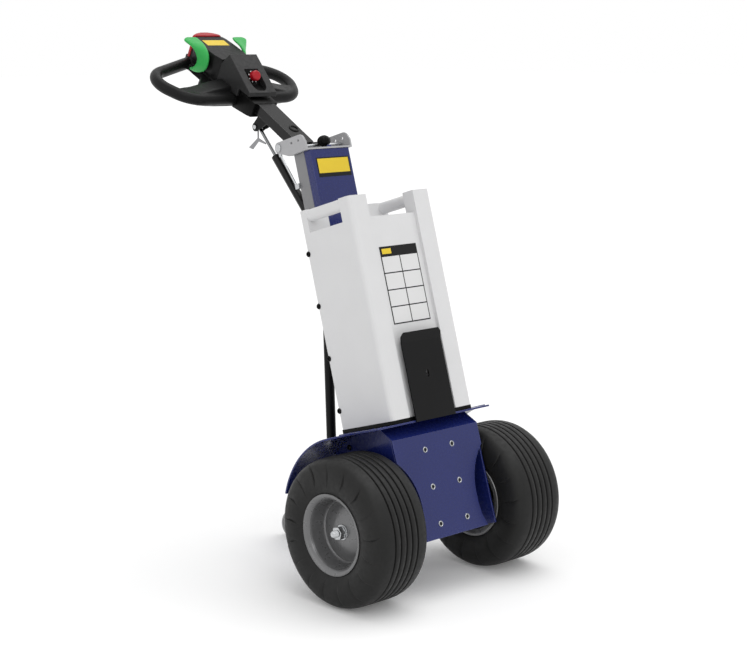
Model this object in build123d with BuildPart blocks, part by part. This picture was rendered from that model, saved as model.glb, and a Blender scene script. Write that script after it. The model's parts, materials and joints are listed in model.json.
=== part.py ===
"""Electric cart mover: a two-wheeled battery tug with a hitch plate, a column and a tiller.

Millimetres, +Z up. X runs along the wheel axle, the machine is mirrored about x = 0, the hitch
plate faces -Y and the operator stands at +Y. The floor is z = 0 and the origin lies under the
middle of the overall length. Every length named _Y is measured back from the wheel axle.
"""
from build123d import *
import math
import os

os.makedirs("parts", exist_ok=True)

# Wheels: 13 x 6.50-6 pneumatic tyres on pressed steel rims
TYRE_RADIUS = 165.0
TYRE_WIDTH = 151.0
WHEEL_GAP = 6.0
RIM_DISC_OFFSET = 34.0
HUB_RADIUS = 24.0
SHAFT_RADIUS = 12.5
RUNNING_CLEARANCE = 0.05

# Tyre section, one half: distance from the wheel's middle plane, radius
TYRE_SECTION = (
    (61.0, 76.0), (66.1, 88.66), (TYRE_WIDTH / 2, 112.0), (73.5, 146.0), (64.5, 159.0), (50.0, TYRE_RADIUS),
)

# Rim section: outwards distance from the wheel's middle plane, radius
RIM_SECTION = (
    (61.0, 76.0), (66.1, 88.66), (69.2, 87.5), (63.5, 73.0), (24.0, 70.0),
    (RIM_DISC_OFFSET, 30.0), (RIM_DISC_OFFSET, SHAFT_RADIUS), (-48.0, SHAFT_RADIUS), (-48.0, HUB_RADIUS),
    (24.0, HUB_RADIUS), (18.0, 70.0), (-63.5, 73.0), (-69.2, 87.5), (-66.1, 88.66), (-61.0, 76.0),
)
WASHER_RADIUS = 17.0
WASHER_THICKNESS = 3.0
HEX_ACROSS_FLATS = 27.0
HEX_HEIGHT = 15.0
BOLT_RADIUS = 8.0
BOLT_LENGTH = 12.0

# Chassis: bent sheet box between the wheels
BOX_HALF = 133.5
SHEET = 4.0
HITCH_SHEET = 5.0
HITCH_LEAN = 17.65
HITCH_TOP_Y = -33.0
HITCH_TOP_Z = 353.0
HITCH_HEIGHT = 231.0
HITCH_SHOULDER = 50.0
HITCH_WAIST_HALF = BOX_HALF - 47.5
HITCH_WAIST_DROP = 165.0
HITCH_FOOT_HALF = BOX_HALF - 32.5
HITCH_HOLE_PITCH_X = 84.0
HITCH_HOLE_PITCH_Z = 83.0
HITCH_FIRST_ROW = 34.4
SHELF_RUN = 45.0
SHELF_RISE = 21.0
RIVET_NUT_RADIUS = 7.0
RIVET_NUT_BORE = 4.0
RIVET_NUT_RISE = 0.8
RIVET_NUT_DEPTH = 16.0
BOX_BOTTOM_Z = 104.0
BOX_CHIN_Y = -20.0
AXLE_TUBE_RADIUS = 25.0
AXLE_TUBE_END = BOX_HALF + 2.5
SHAFT_BORE_DEPTH = 40.0
SHAFT_END_GAP = 10.0
CASE_LENGTH = 110.0
CASE_RADIUS = 62.0
MOTOR_RADIUS = 45.0
MOTOR_START_Y = 62.0
MOTOR_END_Y = 138.0
MOTOR_Z = 175.0
MOTOR_CAP_STEP = 8.0
MOTOR_CAP_DEPTH = 6.0

# Battery, deck and column share one backward lean
LEAN = 16.5
LEAN_Y = -25.6
LEAN_Z = 395.0
TRAY_HEIGHT = 9.0
DECK_HALF = BOX_HALF + 41.5
DECK_FRONT = -4.0
DECK_SIDE_DEPTH = 82.0
DECK_TONGUE_HALF = 66.0
FENDER_HALF = BOX_HALF + 116.5
FENDER_RADIUS = 200.0
FENDER_FLAT = 6.0
FENDER_MID_ANGLE = 40.0
FENDER_END_ANGLE = 76.0

# Battery housing
BATTERY_HALF = 125.0
BATTERY_DEPTH = 174.0
BATTERY_HEIGHT = 502.0
BATTERY_FILLET = 10.0
PILLAR_WIDTH = 53.0
RECESS_DEPTH = 8.0
RECESS_TOP = BATTERY_HEIGHT - 50.0
GRIP_FRONT = 34.0
GRIP_REAR = BATTERY_DEPTH - 26.0
GRIP_FLOOR = BATTERY_HEIGHT - 53.0
GRIP_RADIUS = 14.0
GRIP_ANCHOR = 10.0
CHANNEL_CLEARANCE = 1.5
PLUG_RADIUS = 6.5
PLUG_RISE = 3.0
PLUG_HEIGHTS = (43.0, 163.0, 283.0, 403.0)
PLUG_DEPTH = BATTERY_DEPTH - 7.0

# Retaining plate in front of the battery
GUIDE_HALF = 61.0
GUIDE_SHEET = 4.0
GUIDE_HEIGHT = 162.0
GUIDE_TAB = 24.0
GUIDE_TAB_LEAN = 14.0
GUIDE_CORNER = 9.0
GUIDE_HOLE_HEIGHT = 88.0
GUIDE_HOLE_LENGTH = 16.0
GUIDE_HOLE_WIDTH = 8.0

# Ends of the deck and of its tongue, behind the battery and under the column
DECK_REAR = BATTERY_DEPTH + 2.0
DECK_TONGUE_REAR = BATTERY_DEPTH + 60.0

# Column, bracket and tiller pivot
COLUMN_HALF = 60.0
COLUMN_FRONT = BATTERY_DEPTH - 6.5
COVER_DEPTH = 23.0
POST_DEPTH = 36.0
COLUMN_TOP = 642.7
COVER_SHEET = 3.0
POST_WALL = 4.0
BRACKET_HALF = 70.0
BRACKET_SHEET = 4.0
BRACKET_FRONT = COLUMN_FRONT - 1.5
BRACKET_BASE_REAR = COLUMN_FRONT + 65.5
EAR_HEIGHT = 39.0
EAR_LOBE = 13.5
EAR_NOSE = 10.0
PIVOT_DEPTH = COLUMN_FRONT + 95.2
PIVOT_HEIGHT = COLUMN_TOP + 26.3
EAR_HOLE_RADIUS = 3.5
EAR_HOLE_DEPTHS = (COLUMN_FRONT + 23.1, COLUMN_FRONT + 48.4)
PIVOT_RADIUS = 6.0
PIVOT_HEAD_RADIUS = 9.0
PIVOT_HEAD_HEIGHT = 3.0
BARREL_RADIUS = 10.0
SIDE_PLAY = 1.0
KNOB_DEPTH = COLUMN_FRONT + 14.0
KNOB_RADIUS = 13.5
KNOB_LOBE = 4.0
KNOB_LOBES = 6
KNOB_HEIGHT = 15.0
KNOB_STUD_RADIUS = 4.0
KNOB_STUD_HEIGHT = 10.0
STAY_RADIUS = 2.5

# Tiller
TILLER_PITCH = 30.5
TILLER_WIDTH = 50.0
TILLER_HEIGHT = 25.0
TILLER_WALL = 2.5
TILLER_RISE = 5.9
TILLER_START = -6.0
TILLER_END = 205.0
LUG_FRONT = 118.0
LUG_CHEEK = 3.0
LUG_OUTER = 12.0
EYE_ALONG = 156.0
EYE_DROP = 44.2
LUG_RADIUS = 11.0
PIN_HEAD_RADIUS = 6.0
PIN_HEAD_HEIGHT = 2.0
CLAMP_HALF = 35.0
CLAMP_START = 160.0
CLAMP_END = 232.0
CLAMP_BOTTOM = -34.0
CLAMP_TOP = 19.0
CLAMP_CUT = 16.0

# Tiller head, in its own plane
HEAD_ALONG = 348.78
HEAD_RISE = -23.63
HEAD_TILT = -4.5
LOOP_RADIUS = 14.5
LOOP_FACETS = 12
LOOP_CORNER = 65.0
LOOP_PATH = ((30.0, 84.2), (221.6, 2.7), (162.6, -111.5))
BASE_BOTTOM = -8.0
BASE_TOP = 16.0
BASE_REAR = 100.0
BASE_OUTLINE = ((100.0, -60.0), (84.0, -28.0), (56.0, 3.0), (54.0, 56.0), (44.0, BASE_REAR))
BASE_TAPER = 20.0
SPINE_HALF = 40.0
SPINE_OUTLINE = ((-44, 16), (-44, 61.5), (17.5, 71), (78.5, 72), (78.5, 16))
PANEL_HALF = 42.0
PANEL_OUTLINE = ((-63, 94), (-170, 46), (-173, 36), (-128, 36), (-128, 16), (-44, 16), (-44, 61.5))
POCKET_HALF = 21.0
POCKET_OUTLINE = ((-168, 46.5), (-130, 45), (-104, 76), (-110, 100), (-175, 100), (-175, 50))
COLLAR_RADIUS = 11.0
COLLAR_HEIGHT = 6.0
SWITCH_RADIUS = 12.5
SWITCH_HEIGHT = 14.0
SWITCH_CHAMFER = 2.5
BUTTON_OUTLINE = ((42.0, 78.5), (42.0, 87.0), (28.0, 96.0), (11.0, 101.0))
BUTTON_TOP = 75.0
BUTTON_ROUNDING = 7.0
LEVER_INNER = 48.0
LEVER_OUTER = 76.0
LEVER_TIP = 97.0
LEVER_OUTLINE = (
    (52, 80), (32, 89), (-3, 84), (-20, 66), (-23, 41), (-10, 22), (22, 12), (25, 20), (8, 32), (4, 50), (14, 66),
    (30, 73), (50, 70),
)
FINGER_OUTLINE = ((52, 80), (32, 88), (20, 86), (18, 72), (30, 73), (50, 70))
LEVER_HUB = (-8.0, 50.0)
LEVER_HUB_RADIUS = 10.0

# Body across the front of the loop: x, centre along, centre up, depth, height, corner radius
BODY_SECTIONS = (
    (48.0, -99.5, 0.0, 61.0, 46.0, 15.0),
    (92.0, -103.0, 0.0, 50.0, 38.0, 14.5),
    (122.0, -110.5, 0.0, 32.0, 30.0, 14.4),
)

# Release lever under the tiller, measured along and square to the gas spring from the eye's centre
RELEASE_SHEET = 2.5
RELEASE_OUTLINE = (
    (-7.0, 3.3), (-6.5, -1.7), (-22.3, -15.5), (-17.5, -56.4), (-30.5, -48.0), (-30.6, -18.3), (-53.2, -2.4),
    (-50.3, 0.3), (-24.7, -12.9),
)

# Gas spring between column and tiller
GAS_FOOT_STAND_OFF = 20.0
GAS_RADIUS = 11.0
GAS_BORE_START = 25.0
GAS_BODY_LENGTH = 262.0
GAS_ROD_OUT = 92.6694
GAS_ROD_RADIUS = 4.0
GAS_ROD_IN_BODY = 120.0
GAS_EYE_RADIUS = 8.0
GAS_EYE_HALF = 6.0
GAS_PIN_RADIUS = 4.0

# Rear strut, arm and swivel castor
STRUT_RADIUS = 11.5
STRUT_BORE = 9.0
STRUT_FOOT_Y = 309.1
SEAT_SHEET = 4.0
LUG_RISE = 6.0
ARM_HALF = 20.0
ARM_BOTTOM_Z = 94.0
ARM_HEIGHT = 40.0
ARM_WALL = 3.0
ARM_START_Y = 150.0
ARM_END_Y = 455.0
CASTOR_AXIS_Y = 428.0
CASTOR_TRAIL = 30.0
CASTOR_RADIUS = 32.5
CASTOR_WIDTH = 24.0
CASTOR_CHAMFER = 3.0
CASTOR_PLATE = 4.0
CASTOR_PLATE_SIZE = 50.0
CASTOR_FORK_SHEET = 3.0
CASTOR_FORK_GAP = 2.0
CASTOR_SWIVEL_RADIUS = 20.0
CASTOR_SWIVEL_GAP = 1.0
CASTOR_HEAD = 10.0
CASTOR_KING_RADIUS = 6.0
CASTOR_AXLE_RADIUS = 4.0
CASTOR_HUB_RADIUS = 13.0

SIDES = (("left", -1.0), ("right", 1.0))

# Distance to the second point that gives a line its direction
FAR = 100.0


class SideFrame:
    """Frame in the YZ plane: `along` runs back and climbs at `pitch` degrees, `up` is square to it."""

    def __init__(self, y, z, pitch):
        self.y = y
        self.z = z
        self.c = math.cos(math.radians(pitch))
        self.s = math.sin(math.radians(pitch))

    def flat(self, along, up):
        """Place in the frame as (y, z), with y measured back from the axle."""
        return (self.y + along * self.c - up * self.s, self.z + along * self.s + up * self.c)

    def locate(self, y, z):
        """Frame (along, up) of a (y, z) place, with y measured back from the axle."""
        dy = y - self.y
        dz = z - self.z
        return (dy * self.c + dz * self.s, -dy * self.s + dz * self.c)

    def point(self, along, up, x=0.0):
        """Machine coordinates of a place in the frame."""
        y, z = self.flat(along, up)
        return (x, AXLE_Y + y, z)

    def side(self, along=0.0, up=0.0, x=0.0):
        """Sketch plane facing +X: local x is along, local y is up."""
        return Plane(origin=self.point(along, up, x), x_dir=(0, self.c, self.s), z_dir=(1, 0, 0))

    def level(self, up=0.0, along=0.0, x=0.0):
        """Sketch plane facing up: local x is X, local y is along."""
        return Plane(origin=self.point(along, up, x), x_dir=(1, 0, 0), z_dir=(0, -self.s, self.c))

    def face(self, along=0.0, up=0.0, x=0.0):
        """Sketch plane facing forward: local x is X, local y is up."""
        return Plane(origin=self.point(along, up, x), x_dir=(1, 0, 0), z_dir=(0, -self.c, -self.s))


def yz_plane(x):
    """Upright plane facing +X: local x is measured back from the axle, local y is the height."""
    return Plane(origin=(x, AXLE_Y, 0), x_dir=(0, 1, 0), z_dir=(1, 0, 0))


def floor_plane(z):
    """Level plane facing up: local x is X, local y is measured back from the axle."""
    return Plane(origin=(0, AXLE_Y, z), x_dir=(1, 0, 0), z_dir=(0, 0, 1))


def rear_plane(y, z):
    """Upright plane facing back, its origin at y behind the axle and height z."""
    return Plane(origin=(0, AXLE_Y + y, z), x_dir=(1, 0, 0), z_dir=(0, 1, 0))


def axle_plane(side, distance):
    """Plane square to the axle, facing outwards on one side, its origin on the axle's line."""
    return Plane(origin=(side * distance, AXLE_Y, TYRE_RADIUS), x_dir=(0, 1, 0), z_dir=(side, 0, 0))


def crossing(a, b, c, d):
    """Point where the line a-b meets the line c-d."""
    denominator = (a[0] - b[0]) * (c[1] - d[1]) - (a[1] - b[1]) * (c[0] - d[0])
    first = a[0] * b[1] - a[1] * b[0]
    second = c[0] * d[1] - c[1] * d[0]
    return (
        (first * (c[0] - d[0]) - (a[0] - b[0]) * second) / denominator,
        (first * (c[1] - d[1]) - (a[1] - b[1]) * second) / denominator,
    )


def about_axle(radius, angle):
    """(y, z) at a radius from the axle, the angle measured back from straight up."""
    turn = math.radians(angle)
    return (radius * math.sin(turn), TYRE_RADIUS + radius * math.cos(turn))


def save(builder, name):
    """Label a finished piece and write its file."""
    builder.part.label = name
    export_step(builder.part, f"parts/{name}.step")
    print(name, "volume", round(builder.part.volume), "solids", len(builder.part.solids()))


lean = SideFrame(LEAN_Y, LEAN_Z, -LEAN)
hitch = SideFrame(HITCH_TOP_Y, HITCH_TOP_Z, -HITCH_LEAN)
pivot_y, pivot_z = lean.flat(PIVOT_DEPTH, PIVOT_HEIGHT)
tiller = SideFrame(pivot_y, pivot_z, TILLER_PITCH)
head = SideFrame(*tiller.flat(HEAD_ALONG, HEAD_RISE), TILLER_PITCH + HEAD_TILT)
eye_y, eye_z = tiller.flat(EYE_ALONG, -EYE_DROP)
column_rear = COLUMN_FRONT + COVER_DEPTH + POST_DEPTH
gas_length = GAS_BODY_LENGTH + GAS_ROD_OUT
gas_foot_along = column_rear + GAS_FOOT_STAND_OFF
eye_along, eye_up = lean.locate(eye_y, eye_z)
gas_foot_height = eye_up - math.sqrt(gas_length ** 2 - (eye_along - gas_foot_along) ** 2)
gas_foot_y, gas_foot_z = lean.flat(gas_foot_along, gas_foot_height)
gas_pitch = math.degrees(math.atan2(eye_z - gas_foot_z, eye_y - gas_foot_y))
gas = SideFrame(gas_foot_y, gas_foot_z, gas_pitch)

# The origin lies half way between the front of the tyres and the back of the head's base
AXLE_Y = -(head.flat(BASE_REAR, BASE_BOTTOM)[0] - TYRE_RADIUS) / 2
tyre_centre_x = BOX_HALF + WHEEL_GAP + TYRE_WIDTH / 2
deck_top = -TRAY_HEIGHT
deck_bottom = deck_top - SHEET
axle_line = Axis((0, AXLE_Y, TYRE_RADIUS), (1, 0, 0))
profile_plane = Plane(origin=(0, AXLE_Y, 0), x_dir=(1, 0, 0), z_dir=(0, -1, 0))

# Road wheels
for side_name, side in SIDES:
    centre = side * tyre_centre_x

    with BuildPart() as tyre:
        with BuildSketch(profile_plane):
            section = TYRE_SECTION + tuple((-x, r) for x, r in reversed(TYRE_SECTION))
            Polygon(*[(centre + x, TYRE_RADIUS + r) for x, r in section], align=None)
        revolve(axis=axle_line)
    save(tyre, f"tyre_{side_name}")

    with BuildPart() as rim:
        with BuildSketch(profile_plane):
            Polygon(*[(centre + side * x, TYRE_RADIUS + r) for x, r in RIM_SECTION], align=None)
        revolve(axis=axle_line)
    save(rim, f"rim_{side_name}")

    with BuildPart() as wheel_shaft:
        shaft_start = AXLE_TUBE_END - SHAFT_BORE_DEPTH + SHAFT_END_GAP
        washer_x = tyre_centre_x + RIM_DISC_OFFSET
        nut_x = washer_x + WASHER_THICKNESS
        with BuildSketch(axle_plane(side, shaft_start)):
            Circle(SHAFT_RADIUS)
        extrude(amount=washer_x - shaft_start)
        with BuildSketch(axle_plane(side, washer_x)):
            Circle(WASHER_RADIUS)
        extrude(amount=WASHER_THICKNESS)
        with BuildSketch(axle_plane(side, nut_x)):
            RegularPolygon(HEX_ACROSS_FLATS / 2, 6, major_radius=False)
        extrude(amount=HEX_HEIGHT)
        with BuildSketch(axle_plane(side, nut_x + HEX_HEIGHT)):
            Circle(BOLT_RADIUS)
        extrude(amount=BOLT_LENGTH)
    save(wheel_shaft, f"wheel_shaft_{side_name}")

# Hitch plate with its bent shelf, six rivet nuts in two columns
hitch_shelf_rear = crossing(
    (HITCH_TOP_Y, HITCH_TOP_Z), (HITCH_TOP_Y + SHELF_RUN, HITCH_TOP_Z + SHELF_RISE),
    lean.flat(0, deck_bottom), lean.flat(FAR, deck_bottom),
)
shelf_angle = math.atan2(hitch_shelf_rear[1] - HITCH_TOP_Z, hitch_shelf_rear[0] - HITCH_TOP_Y)
shelf = SideFrame(HITCH_TOP_Y, HITCH_TOP_Z, math.degrees(shelf_angle))
bend_inside = crossing(
    shelf.flat(0, -SHEET), shelf.flat(FAR, -SHEET), hitch.flat(HITCH_SHEET, 0), hitch.flat(HITCH_SHEET, -FAR),
)
shelf_under_rear = crossing(
    shelf.flat(0, -SHEET), shelf.flat(FAR, -SHEET), lean.flat(0, deck_bottom), lean.flat(FAR, deck_bottom),
)
with BuildPart() as hitch_plate:
    with BuildSketch(hitch.face()):
        with BuildLine():
            waist = -HITCH_WAIST_DROP
            foot = -HITCH_HEIGHT
            Line((-BOX_HALF, 0), (BOX_HALF, 0))
            Line((BOX_HALF, 0), (BOX_HALF, -HITCH_SHOULDER))
            ThreePointArc((BOX_HALF, -HITCH_SHOULDER), (HITCH_WAIST_HALF + 9, waist + 60), (HITCH_WAIST_HALF, waist))
            ThreePointArc((HITCH_WAIST_HALF, waist), (HITCH_WAIST_HALF + 3, waist - 35), (HITCH_FOOT_HALF, foot))
            Line((HITCH_FOOT_HALF, foot), (-HITCH_FOOT_HALF, foot))
            ThreePointArc((-HITCH_FOOT_HALF, foot), (-HITCH_WAIST_HALF - 3, waist - 35), (-HITCH_WAIST_HALF, waist))
            ThreePointArc((-HITCH_WAIST_HALF, waist), (-HITCH_WAIST_HALF - 9, waist + 60), (-BOX_HALF, -HITCH_SHOULDER))
            Line((-BOX_HALF, -HITCH_SHOULDER), (-BOX_HALF, 0))
        make_face()
    extrude(amount=-HITCH_SHEET)
    with BuildSketch(yz_plane(-BOX_HALF)):
        Polygon(hitch.flat(0, 0), hitch_shelf_rear, shelf_under_rear, bend_inside, align=None)
    extrude(amount=2 * BOX_HALF)
    with BuildSketch(hitch.face()):
        with Locations((0, -HITCH_FIRST_ROW - HITCH_HOLE_PITCH_Z)):
            with GridLocations(HITCH_HOLE_PITCH_X, HITCH_HOLE_PITCH_Z, 2, 3):
                Circle(RIVET_NUT_RADIUS)
    extrude(amount=-HITCH_SHEET, mode=Mode.SUBTRACT)
save(hitch_plate, "hitch_plate")

with BuildPart() as rivet_nuts:
    with BuildSketch(hitch.face(along=-RIVET_NUT_RISE)):
        with Locations((0, -HITCH_FIRST_ROW - HITCH_HOLE_PITCH_Z)):
            with GridLocations(HITCH_HOLE_PITCH_X, HITCH_HOLE_PITCH_Z, 2, 3):
                Circle(RIVET_NUT_RADIUS)
                Circle(RIVET_NUT_BORE, mode=Mode.SUBTRACT)
    extrude(amount=-RIVET_NUT_DEPTH)
save(rivet_nuts, "rivet_nuts")

# Side plates of the box, the axle tube passes through each
plate_outline = (
    hitch.flat(HITCH_SHEET, -HITCH_HEIGHT),
    bend_inside,
    shelf_under_rear,
    lean.flat(DECK_REAR, deck_bottom),
    (ARM_START_Y, lean.flat(DECK_REAR, deck_bottom)[1]),
    (ARM_START_Y, BOX_BOTTOM_Z),
    (BOX_CHIN_Y, BOX_BOTTOM_Z),
)
rear_crossing = crossing(
    lean.flat(0, deck_bottom), lean.flat(FAR, deck_bottom), (ARM_START_Y, 0), (ARM_START_Y, FAR),
)
plate_outline = plate_outline[:3] + (rear_crossing,) + plate_outline[5:]
for side_name, side in SIDES:
    with BuildPart() as side_plate:
        start = BOX_HALF - SHEET if side > 0 else -BOX_HALF
        with BuildSketch(yz_plane(start)):
            Polygon(*plate_outline, align=None)
            with Locations((0, TYRE_RADIUS)):
                Circle(AXLE_TUBE_RADIUS, mode=Mode.SUBTRACT)
        extrude(amount=SHEET)
    save(side_plate, f"side_plate_{side_name}")

with BuildPart() as rear_panel:
    with BuildSketch(yz_plane(-BOX_HALF + SHEET)):
        Polygon(
            (ARM_START_Y, BOX_BOTTOM_Z), rear_crossing,
            crossing(lean.flat(0, deck_bottom), lean.flat(FAR, deck_bottom),
                     (ARM_START_Y - SHEET, 0), (ARM_START_Y - SHEET, FAR)),
            (ARM_START_Y - SHEET, BOX_BOTTOM_Z), align=None,
        )
    extrude(amount=2 * (BOX_HALF - SHEET))
save(rear_panel, "rear_panel")

# Deck plate under the battery, with a tongue under the column
with BuildPart() as deck_plate:
    with BuildSketch(lean.level(up=deck_bottom)):
        Polygon(
            (-DECK_HALF, DECK_FRONT), (DECK_HALF, DECK_FRONT), (DECK_HALF, DECK_SIDE_DEPTH),
            (BOX_HALF, DECK_SIDE_DEPTH), (BOX_HALF, DECK_REAR), (DECK_TONGUE_HALF, DECK_REAR),
            (DECK_TONGUE_HALF, DECK_TONGUE_REAR), (-DECK_TONGUE_HALF, DECK_TONGUE_REAR),
            (-DECK_TONGUE_HALF, DECK_REAR), (-BOX_HALF, DECK_REAR), (-BOX_HALF, DECK_SIDE_DEPTH),
            (-DECK_HALF, DECK_SIDE_DEPTH), align=None,
        )
    extrude(amount=SHEET)
save(deck_plate, "deck_plate")

for side_name, side in SIDES:
    with BuildPart() as fender:
        start = BOX_HALF if side > 0 else -FENDER_HALF
        with BuildSketch(yz_plane(start)):
            with BuildLine():
                outer_a = lean.flat(DECK_SIDE_DEPTH, deck_top)
                outer_b = lean.flat(DECK_SIDE_DEPTH + FENDER_FLAT, deck_top)
                inner_a = lean.flat(DECK_SIDE_DEPTH, deck_bottom)
                inner_b = lean.flat(DECK_SIDE_DEPTH + FENDER_FLAT, deck_bottom)
                outer_mid = about_axle(FENDER_RADIUS, FENDER_MID_ANGLE)
                inner_mid = about_axle(FENDER_RADIUS - SHEET, FENDER_MID_ANGLE)
                outer_end = about_axle(FENDER_RADIUS - 3.0, FENDER_END_ANGLE)
                inner_end = about_axle(FENDER_RADIUS - 3.0 - SHEET, FENDER_END_ANGLE)
                Line(outer_a, outer_b)
                ThreePointArc(outer_b, outer_mid, outer_end)
                Line(outer_end, inner_end)
                ThreePointArc(inner_end, inner_mid, inner_b)
                Line(inner_b, inner_a)
                Line(inner_a, outer_a)
            make_face()
        extrude(amount=FENDER_HALF - BOX_HALF)
    save(fender, f"fender_{side_name}")

# Drive unit inside the box: gear case, axle tubes and motor
with BuildPart() as gear_case:
    with BuildSketch(yz_plane(-CASE_LENGTH / 2)):
        with Locations((0, TYRE_RADIUS)):
            Circle(CASE_RADIUS)
        with Locations((MOTOR_START_Y / 2, MOTOR_Z)):
            Rectangle(MOTOR_START_Y, 2 * MOTOR_RADIUS)
    extrude(amount=CASE_LENGTH)
    for side_name, side in SIDES:
        with BuildSketch(axle_plane(side, CASE_LENGTH / 2)):
            Circle(AXLE_TUBE_RADIUS)
        extrude(amount=AXLE_TUBE_END - CASE_LENGTH / 2)
        with BuildSketch(axle_plane(side, AXLE_TUBE_END - SHAFT_BORE_DEPTH)):
            Circle(SHAFT_RADIUS + RUNNING_CLEARANCE)
        extrude(amount=SHAFT_BORE_DEPTH, mode=Mode.SUBTRACT)
save(gear_case, "gear_case")

with BuildPart() as drive_motor:
    with BuildSketch(rear_plane(MOTOR_START_Y, MOTOR_Z)):
        Circle(MOTOR_RADIUS)
    extrude(amount=MOTOR_END_Y - MOTOR_START_Y)
    with BuildSketch(rear_plane(MOTOR_END_Y, MOTOR_Z)):
        Circle(MOTOR_RADIUS - MOTOR_CAP_STEP)
    extrude(amount=MOTOR_CAP_DEPTH)
save(drive_motor, "drive_motor")

# Rear arm, strut and swivel castor
with BuildPart() as rear_arm:
    with BuildSketch(rear_plane(ARM_START_Y, ARM_BOTTOM_Z + ARM_HEIGHT / 2)):
        Rectangle(2 * ARM_HALF, ARM_HEIGHT)
        Rectangle(2 * (ARM_HALF - ARM_WALL), ARM_HEIGHT - 2 * ARM_WALL, mode=Mode.SUBTRACT)
    extrude(amount=ARM_END_Y - ARM_START_Y)
    with BuildSketch(rear_plane(ARM_END_Y - ARM_WALL, ARM_BOTTOM_Z + ARM_HEIGHT / 2)):
        Rectangle(2 * ARM_HALF, ARM_HEIGHT)
    extrude(amount=ARM_WALL)
save(rear_arm, "rear_arm")

strut_foot_z = ARM_BOTTOM_Z + ARM_HEIGHT
strut_run = gas_foot_z - 20.0 - strut_foot_z
strut_head_y = STRUT_FOOT_Y + (gas_foot_y - STRUT_FOOT_Y) * strut_run / (gas_foot_z - strut_foot_z)
with BuildPart() as rear_strut:
    with BuildSketch(floor_plane(strut_foot_z)):
        with Locations((0, STRUT_FOOT_Y)):
            Circle(STRUT_RADIUS)
    with BuildSketch(floor_plane(strut_foot_z + strut_run)):
        with Locations((0, strut_head_y)):
            Circle(STRUT_RADIUS)
    loft()
save(rear_strut, "rear_strut")

# Lug on the back of the column: two cheeks, the lower gas spring pin and the strut's seat
face_low = lean.flat(column_rear, 0)
face_high = lean.flat(column_rear, COLUMN_TOP)
seat_z = strut_foot_z + strut_run
seat_rear = strut_head_y + STRUT_RADIUS + 1.0
seat_low = crossing(face_low, face_high, (0, seat_z), (FAR, seat_z))
seat_high = crossing(face_low, face_high, (0, seat_z + SEAT_SHEET), (FAR, seat_z + SEAT_SHEET))
lug_top = crossing(face_low, face_high, (0, gas_foot_z + LUG_RISE), (FAR, gas_foot_z + LUG_RISE))
with BuildPart() as column_lug:
    for start in (GAS_EYE_HALF + SIDE_PLAY, -GAS_EYE_HALF - SIDE_PLAY - LUG_CHEEK):
        with BuildSketch(yz_plane(start)):
            Polygon(seat_low, lug_top, (gas_foot_y, gas_foot_z + LUG_RADIUS / 2),
                    (seat_rear, gas_foot_z), (seat_rear, seat_z), align=None)
            with Locations((gas_foot_y, gas_foot_z)):
                Circle(LUG_RADIUS)
        extrude(amount=LUG_CHEEK)
    with BuildSketch(yz_plane(-GAS_EYE_HALF - SIDE_PLAY)):
        Polygon(seat_low, seat_high, (seat_rear, seat_z + SEAT_SHEET), (seat_rear, seat_z), align=None)
        with Locations((gas_foot_y, gas_foot_z)):
            Circle(GAS_PIN_RADIUS)
    extrude(amount=2 * (GAS_EYE_HALF + SIDE_PLAY))
save(column_lug, "column_lug")

castor_top = ARM_BOTTOM_Z - CASTOR_PLATE
swivel_bottom = castor_top - CASTOR_HEAD
fork_top = swivel_bottom - CASTOR_SWIVEL_GAP
castor_axle_y = CASTOR_AXIS_Y + CASTOR_TRAIL
with BuildPart() as castor_plate:
    with BuildSketch(floor_plane(castor_top)):
        with Locations((0, CASTOR_AXIS_Y)):
            Rectangle(2 * ARM_HALF, CASTOR_PLATE_SIZE)
    extrude(amount=CASTOR_PLATE)
    with BuildSketch(floor_plane(swivel_bottom)):
        with Locations((0, CASTOR_AXIS_Y)):
            Circle(CASTOR_SWIVEL_RADIUS)
    extrude(amount=CASTOR_HEAD)
    with BuildSketch(floor_plane(fork_top - CASTOR_FORK_SHEET - 3.0)):
        with Locations((0, CASTOR_AXIS_Y)):
            Circle(CASTOR_KING_RADIUS)
    extrude(amount=swivel_bottom - fork_top + CASTOR_FORK_SHEET + 3.0)
save(castor_plate, "castor_plate")

fork_inner = CASTOR_WIDTH / 2 + CASTOR_FORK_GAP
with BuildPart() as castor_fork:
    with BuildSketch(floor_plane(fork_top - CASTOR_FORK_SHEET)):
        with Locations((0, CASTOR_AXIS_Y)):
            Circle(CASTOR_SWIVEL_RADIUS)
        with Locations((0, CASTOR_AXIS_Y + 8.0)):
            Rectangle(2 * (fork_inner + CASTOR_FORK_SHEET), 30.0)
        with Locations((0, CASTOR_AXIS_Y)):
            Circle(CASTOR_KING_RADIUS + RUNNING_CLEARANCE, mode=Mode.SUBTRACT)
    extrude(amount=CASTOR_FORK_SHEET)
    for start in (fork_inner, -fork_inner - CASTOR_FORK_SHEET):
        with BuildSketch(yz_plane(start)):
            Polygon(
                (CASTOR_AXIS_Y - 7.0, fork_top), (CASTOR_AXIS_Y + 23.0, fork_top),
                (castor_axle_y + 9.0, CASTOR_RADIUS + 4.0), (castor_axle_y + 9.0, CASTOR_RADIUS - 6.0),
                (castor_axle_y + 4.0, CASTOR_RADIUS - 10.0), (castor_axle_y - 4.0, CASTOR_RADIUS - 10.0),
                (castor_axle_y - 10.0, CASTOR_RADIUS - 4.0), align=None,
            )
        extrude(amount=CASTOR_FORK_SHEET)
    with BuildSketch(yz_plane(-fork_inner - CASTOR_FORK_SHEET - 3.0)):
        with Locations((castor_axle_y, CASTOR_RADIUS)):
            Circle(CASTOR_AXLE_RADIUS)
    extrude(amount=2 * (fork_inner + CASTOR_FORK_SHEET + 3.0))
save(castor_fork, "castor_fork")

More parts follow.
